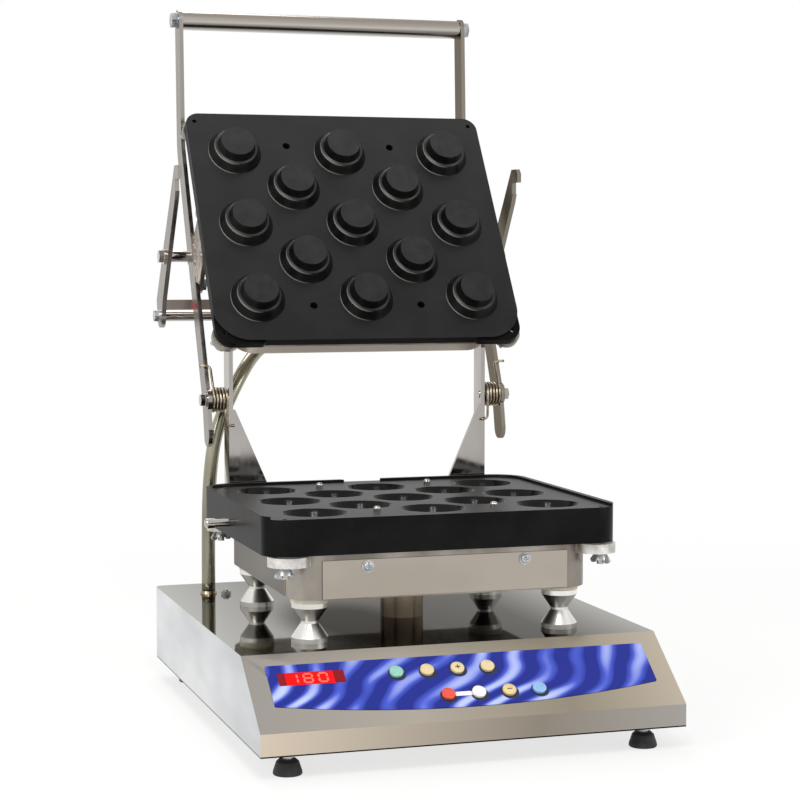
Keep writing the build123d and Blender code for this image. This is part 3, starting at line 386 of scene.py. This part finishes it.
housing = finish("housing_steel", (0.40, 0.36, 0.30), 1.0, 0.2)
from_left = along(housing, rightward)
height = along(housing, upward)
# Painted reflections: the slope, the lip and the top are painted lighter and darker from left to
# right, after what they mirror
slope_painted_reflection = spread(housing, from_left, [
    (-base_half, (0.36, 0.335, 0.31)), (-0.05, (0.45, 0.405, 0.34)), (0.08, (0.31, 0.27, 0.205)),
    (base_half, (0.52, 0.45, 0.36))])
lip_painted_reflection = spread(housing, from_left, [
    (-base_half, (0.66, 0.56, 0.45)), (-0.06, (0.44, 0.385, 0.315)), (0.05, (0.275, 0.24, 0.20)),
    (base_half, (0.37, 0.35, 0.325))])
top_painted_reflection = spread(housing, from_left, [
    (-base_half, (0.46, 0.455, 0.44)), (-0.10, (0.27, 0.26, 0.25)), (0.02, (0.20, 0.195, 0.185)),
    (0.10, (0.22, 0.215, 0.205)), (base_half, (0.44, 0.43, 0.41))])
# Painted reflection: the middle of the mirror top is painted darker where it mirrors the castings
# over it
casting_reflection_share = blot(housing, (-0.05, -0.06, base_top), (0.075, 0.16, 1.0))
top_reflection_tone = choose(housing, casting_reflection_share, top_painted_reflection, (0.105, 0.100, 0.095), "Base Color")
side_tone = tones(housing, cloud(housing, 14.0, (1, 0.5, 1.6), 2.0),
                  (0.50, 0.52, 0.54), (0.70, 0.71, 0.72))
on_lip = where_all(housing, between(housing, height, 0.0, lip_top),
                   between(housing, along(housing, backward), *lip_depths))
front_tone = choose(housing, on_lip, slope_painted_reflection, lip_painted_reflection, "Base Color")
upright = choose(housing, facing_sideways(housing), front_tone, side_tone, "Base Color")
level_enough = 0.95
level = work(housing, "GREATER_THAN", facing(housing, "Z"), level_enough)
folded = choose(housing, level, upright, top_reflection_tone, "Base Color")
# Painted shade: a thin near-black band along the bottom edge of the housing
bottom_shade_band = between(housing, height, 0.0, bottom_shade_top)
choose(housing, bottom_shade_band, folded, (0.006, 0.005, 0.004), "Base Color")
choose(housing, level, 0.24, 0.04, "Roughness")
# Painted reflection in the specular tint: it changes from left to right, and is darker where the top
# mirrors the castings
edge_painted_reflection = spread(housing, from_left, [
    (-base_half, (0.75, 0.75, 0.73)), (-0.10, (0.66, 0.65, 0.62)), (0.02, (0.34, 0.335, 0.32)),
    (0.09, (0.37, 0.365, 0.35)), (base_half, (0.70, 0.69, 0.67))])
edge_reflection_tint = choose(housing, casting_reflection_share, edge_painted_reflection, (0.27, 0.262, 0.255), "Specular Tint")
choose(housing, level, (1.0, 1.0, 1.0), edge_reflection_tint, "Specular Tint")
relief(housing, cloud(housing, 260.0, (0.04, 1.0, 1.0), 4.0), 0.000003)
coat(["base_housing"], housing)
ease_edges("base_housing", 0.0007)
floor_steel = finish("floor_steel", (0.30, 0.29, 0.27), 1.0, 0.4)
relief(floor_steel, cloud(floor_steel, 300.0, (0.05, 1, 1)), 0.00001)
coat(["base_floor"], floor_steel)

# Feet, studs and bolts. The feet are black rubber cups pressed on zinc-plated studs that screw
# into the floor plate. All bolts and screws of the machine are zinc-plated alike.


def polish(made, source, low, high):
    """The roughness goes from low to high with a source from 0 to 1."""
    feed(made, "Roughness", rescaled(made, source, 0.3, 0.7, low, high))


rubber = finish("foot_rubber", (0.012, 0.012, 0.012), 0.0, 0.62)
relief(rubber, cloud(rubber, 1500.0), 0.00006)
polish(rubber, cloud(rubber, 120.0), 0.5, 0.75)
coat(["rubber_feet"], rubber)
zinc = finish("zinc", (0.55, 0.56, 0.58), 1.0, 0.3)
tones(zinc, cloud(zinc, 160.0), (0.27, 0.29, 0.32), (0.56, 0.57, 0.57))
polish(zinc, cloud(zinc, 300.0), 0.2, 0.42)
coat(["foot_studs", "stand_bolts", "spacer_studs", "lid_bolts", "tie_bolts", "cover_screws"], zinc)

# Control panel. A printed film on the slope with pale bands of waves on blue, a dark red window
# over the digits, and the board behind it.
slope_run, slope_drop = 0.0636, 0.0478
slope_angle = math.atan2(slope_drop, slope_run)
slope_back = 0.1687
lit_span = (-0.1447, -0.1060)


def on_panel(x, s, rise):
    """A point of the sloping face: x across, s down the slope and rise above the steel."""
    x, s, rise = np.broadcast_arrays(x, s, rise)
    y = -slope_back - s * math.cos(slope_angle) - rise * math.sin(slope_angle)
    z = base_top - s * math.sin(slope_angle) + rise * math.cos(slope_angle)
    return np.stack([x, y, z], -1)


film = finish("printed_film", (0.03, 0.06, 0.42), 0.0, 0.18)
lay = node(film, "Mapping", {"Vector": point_on(film), "Rotation": (0, 0, math.radians(20)),
                             "Scale": (9.0, 30.0, 0.0)})
swell = node(film, "TexWave", {"Vector": lay.outputs["Vector"], "Scale": 1.2, "Distortion": 8.0,
                               "Detail": 0.6, "Detail Scale": 0.7}, wave_profile="SIN")
broken_swell = work(film, "MULTIPLY", swell.outputs["Fac"], cloud(film, 16.0, (1, 1, 1), 1.0))
feed(film, "Base Color", ramp(film, broken_swell, [
    (0.13, (0.010, 0.020, 0.24)), (0.34, (0.055, 0.090, 0.54)), (0.62, (0.46, 0.53, 0.90))]))
feed(film, "Specular IOR Level", 0.2)
relief(film, cloud(film, 700.0), 0.000008)
coat(["control_overlay"], film)

glass = finish("window_red", (0.22, 0.006, 0.012), 0.0, 0.08)
feed(glass, "Specular IOR Level", 0.15)
lit_part = between(glass, along(glass, rightward), *lit_span)
choose(glass, lit_part, (0.24, 0.004, 0.010), (0.45, 0.0, 0.0), "Base Color")
choose(glass, lit_part, 0.0, 0.45, "Emission Strength")
feed(glass, "Emission Color", (1.0, 0.0, 0.0))
coat(["display_window"], glass)
board = finish("board_green", (0.02, 0.10, 0.05), 0.0, 0.45)
tones(board, cloud(board, 500.0), (0.015, 0.08, 0.04), (0.03, 0.14, 0.07))
coat(["control_board"], board)

# Digits. Red seven-segment figures that glow behind the window, one bar for each lit segment.
# The real ones are part of the board; here they are thin flat bars just over the window.
segments_of = {"1": "bc", "8": "abcdefg", "0": "abcdef"}
shown = "180"
digit_height = 0.0088
digit_width = 0.0066
digit_pitch = 0.0120
digits_left = -0.1420
digits_row = 0.0274
digit_rise = 0.00068
bar_half = 0.0008
bar_shoulder = 1.3
bar_gap = 0.3


def segment_bar(x0, s0, x1, s1):
    """The six corners of a bar with pointed ends, from one point of the window to another. The
    points stand a gap in from the ends, and the bar has its full width from the shoulders on."""
    start, end = np.array([x0, s0]), np.array([x1, s1])
    way = (end - start) / np.linalg.norm(end - start)
    square = np.array([-way[1], way[0]])
    near, far = start + way * bar_half * bar_shoulder, end - way * bar_half * bar_shoulder
    flat = np.array([start + way * bar_gap * bar_half, near + square * bar_half,
                     far + square * bar_half, end - way * bar_gap * bar_half,
                     far - square * bar_half, near - square * bar_half])
    return on_panel(flat[:, 0], flat[:, 1], digit_rise)


digit_corners = []
for index, figure in enumerate(shown):
    left = digits_left + index * digit_pitch
    top = digits_row - digit_height / 2
    right, low, half_way = left + digit_width, top + digit_height, top + digit_height / 2
    ends = {"a": (left, top, right, top), "b": (right, top, right, half_way),
            "c": (right, half_way, right, low), "d": (left, low, right, low),
            "e": (left, half_way, left, low), "f": (left, top, left, half_way),
            "g": (left, half_way, right, half_way)}
    digit_corners += [segment_bar(*ends[letter]) for letter in segments_of[figure]]
digit_faces = np.arange(6 * len(digit_corners)).reshape(-1, 6)[:, ::-1]
digits = link_mesh("display_digits", np.concatenate(digit_corners), digit_faces.tolist(), False)
glowing = finish("digit_glow", (0.9, 0.10, 0.06), 0.0, 0.4)
feed(glowing, "Emission Color", (1.0, 0.10, 0.06))
feed(glowing, "Emission Strength", 0.9)
tones(glowing, cloud(glowing, 900.0), (0.85, 0.06, 0.04), (1.0, 0.12, 0.09))
digits.data.materials.append(glowing)
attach(digits, "stand")

# Panel print and button shadows. Dark navy rounds under the buttons, shifted down the slope, are
# painted shadows of the caps, and a white bar between the red and the white one is printed on the
# film; they lie on it as thin flat shapes.
upper_row, lower_row = 0.0274, 0.0534
button_places = {"button_on": (-0.0554, upper_row), "button_temp": (-0.0301, upper_row),
                 "button_plus": (-0.0048, upper_row), "button_set": (0.0205, upper_row),
                 "button_off": (-0.0192, lower_row), "button_tick": (0.0061, lower_row),
                 "button_minus": (0.0314, lower_row), "button_start": (0.0567, lower_row)}
film_top = 0.00063
button_hole = 0.0058
round_across, round_down = 0.0074, 0.0072
round_shift = (0.0004, 0.0014)
round_sides = 40
print_bar_top, print_bar_foot = 0.0513, 0.0555
print_bar_rise = film_top + 0.00004

turn = np.linspace(0, 2 * np.pi, round_sides, endpoint=False)
here = np.arange(round_sides)
after = (here + 1) % round_sides
ring_faces = np.stack([after, round_sides + after, round_sides + here, here], 1)
round_corners, round_faces = [], []
for index, (x, s) in enumerate(button_places.values()):
    inner = on_panel(x + button_hole * np.cos(turn), s + button_hole * np.sin(turn), film_top)
    outer = on_panel(x + round_shift[0] + round_across * np.cos(turn),
                     s + round_shift[1] + round_down * np.sin(turn), film_top)
    round_corners += [inner, outer]
    round_faces += (ring_faces + 2 * round_sides * index).tolist()
shadow_rounds = link_mesh("button_shadow_rounds", np.concatenate(round_corners), round_faces, False)
# Painted shadow: dark navy rounds shifted down the slope, for the shade under each cap
shadow_navy = finish("painted_button_shadow", (0.006, 0.007, 0.03), 0.0, 0.35)
tones(shadow_navy, cloud(shadow_navy, 400.0), (0.004, 0.005, 0.022), (0.009, 0.011, 0.045))
shadow_rounds.data.materials.append(shadow_navy)
bar_left = button_places["button_off"][0] + button_hole
bar_right = button_places["button_tick"][0] - button_hole
bar_corners = on_panel(np.array([bar_left, bar_right, bar_right, bar_left]),
                       np.array([print_bar_foot, print_bar_foot, print_bar_top, print_bar_top]),
                       print_bar_rise)
print_bar = link_mesh("print_bar", bar_corners, [(0, 1, 2, 3)], False)
white_print = finish("print_white", (0.86, 0.86, 0.85), 0.0, 0.4)
tones(white_print, cloud(white_print, 400.0), (0.82, 0.82, 0.81), (0.90, 0.90, 0.89))
print_bar.data.materials.append(white_print)
for piece in (shadow_rounds, print_bar):
    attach(piece, "stand")

# Push buttons. Moulded caps, each in its own colour, through the film into the housing. Two of
# them carry a printed plus and minus mark.
cream = (0.72, 0.59, 0.33)
cap_colours = {"button_on": (0.27, 0.56, 0.46), "button_temp": cream, "button_plus": cream,
               "button_set": cream, "button_off": (0.74, 0.08, 0.05),
               "button_tick": (0.88, 0.87, 0.85), "button_minus": (0.71, 0.55, 0.27),
               "button_start": (0.26, 0.45, 0.76)}
down_slope = (0.0, -math.cos(slope_angle), -math.sin(slope_angle))
slope_start = slope_back * math.cos(slope_angle) - base_top * math.sin(slope_angle)
mark_half, mark_line = 0.0021, 0.00045


def mark_bar(made, x, s, half_across, half_down):
    """1 in a small rectangle round a point of the slope, and 0 elsewhere."""
    return where_all(made, between(made, along(made, rightward), x - half_across, x + half_across),
                     between(made, along(made, down_slope), s - half_down, s + half_down))


for name, colour in cap_colours.items():
    cap = finish(name + "_plastic", colour, 0.0, 0.25)
    darker = tuple(0.93 * part for part in colour)
    lighter = tuple(min(1.0, 1.05 * part) for part in colour)
    plain = tones(cap, cloud(cap, 300.0), darker, lighter)
    if name in ("button_plus", "button_minus"):
        x, s = button_places[name]
        s += slope_start
        mark = mark_bar(cap, x, s, mark_half, mark_line)
        if name == "button_plus":
            mark = work(cap, "MAXIMUM", mark, mark_bar(cap, x, s, mark_line, mark_half))
        choose(cap, mark, plain, (0.01, 0.01, 0.012), "Base Color")
    coat([name], cap)

# Mains inlet and upper gland. The inlet is a socket of black moulded plastic let into the back of
# the base, and the gland that holds the hose on the back of the head is zinc-plated.
black_plastic = finish("inlet_plastic", (0.015, 0.015, 0.016), 0.0, 0.4)
relief(black_plastic, cloud(black_plastic, 1200.0), 0.00002)
polish(black_plastic, cloud(black_plastic, 90.0), 0.33, 0.5)
coat(["mains_inlet"], black_plastic)
coat(["hose_gland_head"], zinc)

# Spacers. Turned aluminium, waisted like an hourglass, with fine rings from the lathe, under
# cream ceramic washers; a plain steel tube stands between them in the middle, and the lower gland
# of the hose is of the same steel.
turned = finish("turned_aluminium", (0.62, 0.60, 0.57), 1.0, 0.27)
tones(turned, cloud(turned, 9.0, (1, 1, 2), 1.0), (0.66, 0.64, 0.60), (0.86, 0.85, 0.82))
relief(turned, cloud(turned, 3000.0, (0.01, 0.01, 1), 2.0), 0.000006)
coat(["base_spacers"], turned)
ceramic = finish("washer_ceramic", (0.74, 0.70, 0.56), 0.0, 0.55)
tones(ceramic, cloud(ceramic, 90.0), (0.62, 0.58, 0.44), (0.83, 0.80, 0.68))
coat(["insulating_washers"], ceramic)
tube_steel = finish("column_steel", (0.20, 0.16, 0.12), 1.0, 0.25)
tones(tube_steel, cloud(tube_steel, 12.0, (1, 1, 0.3), 1.0), (0.27, 0.215, 0.15), (0.36, 0.30, 0.22))
coat(["centre_column", "hose_gland_base"], tube_steel)

# Castings. Sand-cast aluminium with a fine rough skin, one block behind each mould plate. The
# lower one's corner lugs, which carry the studs, are machined flat and brighter.
lug_left, lug_right = (-0.16, -0.113), (0.113, 0.16)
lug_front, lug_back = (-0.17, -0.130), (0.059, 0.10)
lug_heights = (0.1502, 0.1590)


def either(made, value, first, second):
    """1 where a value lies between the limits of one pair or of the other."""
    return work(made, "MAXIMUM", between(made, value, *first), between(made, value, *second))


cast = finish("cast_aluminium", (0.36, 0.33, 0.30), 1.0, 0.42)
skin = tones(cast, cloud(cast, 25.0, (1, 1, 0.4)), (0.19, 0.168, 0.145), (0.36, 0.33, 0.29))
lug_skin = tones(cast, cloud(cast, 90.0), (0.42, 0.40, 0.37), (0.78, 0.76, 0.73))
on_lugs = where_all(cast, either(cast, along(cast, rightward), lug_left, lug_right),
                    either(cast, along(cast, backward), lug_front, lug_back),
                    between(cast, along(cast, upward), *lug_heights))
choose(cast, on_lugs, skin, lug_skin, "Base Color")
polish(cast, cloud(cast, 220.0), 0.3, 0.5)
relief(cast, cloud(cast, 600.0, detail=6.0), 0.00012)
coat(["lower_casting", "upper_casting"], cast)

# Covers and crossbar. Satin stainless sheet: the covers are let into the castings, and the flat
# crossbar joins the hooks of the latch. Their sides are painted darker, as a painted reflection of
# a darker part of the room.
satin = finish("satin_steel", (0.43, 0.385, 0.335), 1.0, 0.3)
satin_front = tones(satin, cloud(satin, 5.0, (1, 1, 2)), (0.39, 0.345, 0.295), (0.48, 0.43, 0.38))
# Painted reflection: the sides are darker than the fronts, in colour and in specular tint
satin_side_painted_reflection = tones(satin, cloud(satin, 5.0, (1, 1, 2)), (0.22, 0.20, 0.185), (0.28, 0.262, 0.245))
choose(satin, facing_sideways(satin), satin_front, satin_side_painted_reflection, "Base Color")
choose(satin, facing_sideways(satin), (1.0, 1.0, 1.0), (0.62, 0.61, 0.60), "Specular Tint")
relief(satin, cloud(satin, 300.0, (0.03, 0.03, 1.0), 4.0), 0.000006)
coat(["lower_covers", "upper_back_cover", "crossbar"], satin)

# Lower mould plate. Machined aluminium with a black non-stick coating, clamped to its casting by
# the wing nuts on the corner studs. The walls of the cavities are smoother than the plate.
pattern_across, pattern_deep = (-0.13, 0.13), (-0.142, 0.072)
cavity_heights = (0.165, 0.1877)
black = finish("black_coating", (0.005, 0.005, 0.005), 0.0, 0.36)
tones(black, cloud(black, 40.0), (0.0035, 0.0034, 0.0034), (0.0065, 0.0063, 0.0062))
in_cavities = where_all(black, between(black, along(black, rightward), *pattern_across),
                        between(black, along(black, backward), *pattern_deep),
                        between(black, along(black, upward), *cavity_heights))
choose(black, in_cavities, 0.36, 0.16, "Roughness")
outside = choose(black, facing_sideways(black), 0.075, 0.05, "Specular IOR Level")
choose(black, in_cavities, outside, 0.14, "Specular IOR Level")
relief(black, cloud(black, 2500.0), 0.00001)
coat(["lower_mould_plate"], black)
ease_edges("lower_mould_plate", 0.0005)

# Upper mould plate. The same coated aluminium, with stamps of two steps. Their sides are darker
# than their flat steps, their flat tops are painted lighter as a painted sheen, and their rims are
# painted brighter where they look towards the light, as a painted highlight. The pairs below are
# distances off the plate's face, along the way that the open plate looks.
face_way = (0.0, -0.8339, 0.5519)
face_reach = 0.13527
plate_depth = (-0.0300, -0.0006)
foot_rim, step_rim = (0.0002, 0.0010), (0.0080, 0.0092)
foot_side, step_side = (0.0004, 0.0088), (0.0098, 0.0177)
stamp_top = (0.0178, 0.02)
lit_way = (-0.85, -0.40, -0.34)
gleam_low, gleam_high = 0.33, 0.60
coated = finish("stamp_coating", (0.006, 0.0055, 0.0055), 0.0, 0.36)
off_face = work(coated, "SUBTRACT", along(coated, face_way), face_reach)
flat_tone = tones(coated, cloud(coated, 30.0), (0.003, 0.0028, 0.0028), (0.007, 0.0065, 0.0062))
# Painted sheen: the flat tops of the stamps are painted lighter than the face
top_painted_sheen = tones(coated, cloud(coated, 90.0), (0.005, 0.0049, 0.0052), (0.012, 0.0118, 0.0122))
on_top = between(coated, off_face, *stamp_top)
plain_tone = choose(coated, on_top, flat_tone, top_painted_sheen, "Base Color")
# Painted highlight: the rims of the stamps that face the light are painted bright
rounded_normal = node(coated, "NewGeometry", {}).outputs["Normal"]
to_light = node(coated, "VectorMath", {0: rounded_normal, 1: lit_way}, operation="DOT_PRODUCT")
lit_share = rescaled(coated, to_light.outputs["Value"], 0.45, 0.95)
rim_painted_highlight = where_all(coated, either(coated, off_face, foot_rim, step_rim), lit_share)
choose(coated, rim_painted_highlight, plain_tone, (0.22, 0.21, 0.20), "Base Color")
sides = either(coated, off_face, foot_side, step_side)
face_gleam = spread(coated, along(coated, upward), [
    (gleam_low, (0.22, 0.22, 0.22)), (gleam_high, (0.44, 0.44, 0.44))])
stamp_gleam = choose(coated, sides, face_gleam, 0.12, "Specular IOR Level")
on_edge = between(coated, off_face, *plate_depth)
choose(coated, on_edge, stamp_gleam, 0.03, "Specular IOR Level")
choose(coated, sides, 0.36, 0.32, "Roughness")
relief(coated, cloud(coated, 2500.0), 0.00001)
coat(["upper_mould_plate"], coated)
ease_edges("upper_mould_plate", 0.0005)

# Pins, studs, hinge brackets and wing nuts. Turned rods and folded posts of steel, polished
# bright: the pins and studs are set in the plates, and the posts are bolted to the lower casting.
# The wing nuts on the corner studs are zinc-plated.
polished = finish("polished_steel", (0.39, 0.37, 0.345), 1.0, 0.12)
tones(polished, cloud(polished, 9.0, (1, 1, 0.7)), (0.30, 0.275, 0.25), (0.48, 0.46, 0.435))
polish(polished, cloud(polished, 200.0, (1, 1, 0.1)), 0.05, 0.12)
coat(["locating_pins", "striker_pins", "lower_corner_studs", "upper_corner_studs",
      "hinge_bracket_left", "hinge_bracket_right", "hinge_pins", "latch_pivots", "tie_rod"], polished)
coat([name for name in nodes_of if name.startswith("wing_nut")], zinc)

# Side bars, hooks and head brackets. Flat ground steel bars, bolted together. The ones on the
# right are painted darker than those on the left, as a painted reflection of a darker part of the
# room.
bars_half = 0.142
ground = finish("ground_steel", (0.40, 0.38, 0.355), 1.0, 0.24)
from_middle = along(ground, rightward)
# Painted reflection: the bars are painted darker from left to right, in colour and in specular tint
bar_reflection_dark = spread(ground, from_middle, [
    (-bars_half, (0.27, 0.25, 0.227)), (bars_half, (0.185, 0.165, 0.14))])
bar_reflection_light = spread(ground, from_middle, [
    (-bars_half, (0.39, 0.36, 0.33)), (bars_half, (0.27, 0.24, 0.205))])
choose(ground, cloud(ground, 9.0, (1, 1, 0.7)), bar_reflection_dark, bar_reflection_light, "Base Color")
feed(ground, "Specular Tint", spread(ground, from_middle, [
    (-bars_half, (0.80, 0.79, 0.78)), (bars_half, (0.45, 0.43, 0.40))]))
polish(ground, cloud(ground, 200.0, (1, 1, 0.1)), 0.18, 0.28)
coat(["side_bar_left", "side_bar_right", "hook_left", "hook_right", "head_brackets"], ground)

# Grip. A round bright steel bar between the ends of the side bars, held by a bolt at each end.
# Its colour is painted in bands, one over the other, as a painted reflection of the room.
grip_steel = finish("grip_steel", (0.40, 0.37, 0.33), 1.0, 0.2)
# Painted reflection: light and dark bands, one over the other, by height along the bar
feed(grip_steel, "Base Color", spread(grip_steel, along(grip_steel, upward), [
    (0.6074, (0.60, 0.59, 0.57)), (0.6100, (0.10, 0.09, 0.08)), (0.6128, (0.24, 0.215, 0.19)),
    (0.6146, (0.50, 0.475, 0.44)), (0.6175, (0.36, 0.33, 0.29)), (0.6250, (0.23, 0.20, 0.17))]))
relief(grip_steel, cloud(grip_steel, 300.0, (0.03, 1, 1)), 0.000006)
coat(["grip_bar"], grip_steel)

# Bands and pads on the side bars. A dark red band round each bar and a black rubber stop on the
# left tail, glued on.
band_heights = (0.30, 0.40)
pads = finish("bar_pads", (0.02, 0.02, 0.02), 0.0, 0.6)
band_red = tones(pads, cloud(pads, 300.0), (0.16, 0.008, 0.010), (0.24, 0.014, 0.016))
on_bands = between(pads, along(pads, upward), *band_heights)
choose(pads, on_bands, (0.014, 0.014, 0.014), band_red, "Base Color")
coat(["bar_pads"], pads)

# Hinge springs. Oiled spring wire wound four turns round the hinge pin over a black sleeve: one leg
# hooks over the side bar, which lifts the head, and the other over the fixed post.
outward = np.array([1.0, 0.0, 0.0])
hinge = np.array([0.1043, 0.265])
coil_radius, coil_pitch, wire_radius, coil_out = 0.0103, 0.00295, 0.0012, 0.1366
coil_turns, coil_points = 4, 180
upper_hook, lower_hook = np.array([0.109185, 0.292]), np.array([0.0951, 0.246])
hook_bend, upper_tail, lower_tail = 0.004, 0.006, 0.0024
bend_points = 9
collar_radius, collar_start, collar_end, collar_points = 0.0086, 0.1230, 0.1379, 8
wire_sides, collar_sides = 14, 40


def touch_angle(point, sign):
    """The angle at which a straight leg to a point of the side view leaves the coil's circle."""
    away = point - hinge
    return math.atan2(away[1], away[0]) + sign * math.acos(coil_radius / np.linalg.norm(away))


def spring_line():
    """The middle line of the right spring: a hook, a straight leg, the screw line, a straight leg
    and a hook. The screw line is the circle's point at an angle, moved inwards by the pitch
    for each full turn; the hooks are quarter circles."""
    first = touch_angle(upper_hook, 1)
    last = touch_angle(lower_hook, -1)
    while last < first:
        last += 2 * math.pi
    last += coil_turns * 2 * math.pi
    angle = np.linspace(first, last, coil_points)
    coil = np.stack([coil_out - coil_pitch * (angle - first) / (2 * math.pi),
                     hinge[0] + coil_radius * np.cos(angle),
                     hinge[1] + coil_radius * np.sin(angle)], 1)
    start_way = np.array([0, -math.sin(first), math.cos(first)])
    end_way = np.array([0, -math.sin(last), math.cos(last)])
    leg_top = np.array([coil_out, *upper_hook])
    leg_foot = np.array([coil[-1, 0], *lower_hook])
    bend = np.linspace(0, math.pi / 2, bend_points)[:, None]
    top_round = start_way * np.cos(bend) + outward * np.sin(bend)
    foot_round = outward * np.cos(bend) + end_way * np.sin(bend)
    top = leg_top + hook_bend * outward - hook_bend * top_round
    foot = leg_foot - hook_bend * outward + hook_bend * foot_round
    top_end = top[0] + outward * upper_tail
    foot_end = foot[-1] - outward * lower_tail
    return np.concatenate([[top_end], top, coil, foot, [foot_end]])


wire = finish("spring_wire", (0.30, 0.25, 0.18), 1.0, 0.28)
tones(wire, cloud(wire, 200.0), (0.22, 0.175, 0.12), (0.44, 0.38, 0.29))
sleeve_black = finish("sleeve_black", (0.008, 0.008, 0.008), 0.0, 0.4)
tones(sleeve_black, cloud(sleeve_black, 300.0), (0.006, 0.006, 0.006), (0.012, 0.012, 0.012))
collar_line = np.stack([np.linspace(collar_start, collar_end, collar_points),
                        np.full(collar_points, hinge[0]), np.full(collar_points, hinge[1])], 1)
for side, word in ((-1, "left"), (1, "right")):
    mirrored = np.array([side, 1.0, 1.0])
    spring = tube("spring_" + word, spring_line() * mirrored, wire_radius, wire_sides)
    spring.data.materials.append(wire)
    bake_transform(spring)
    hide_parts("hinge_spring_" + word)
    collar = tube("spring_sleeve_" + word, collar_line * mirrored, collar_radius, collar_sides)
    collar.data.materials.append(sleeve_black)
    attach(collar, "stand")
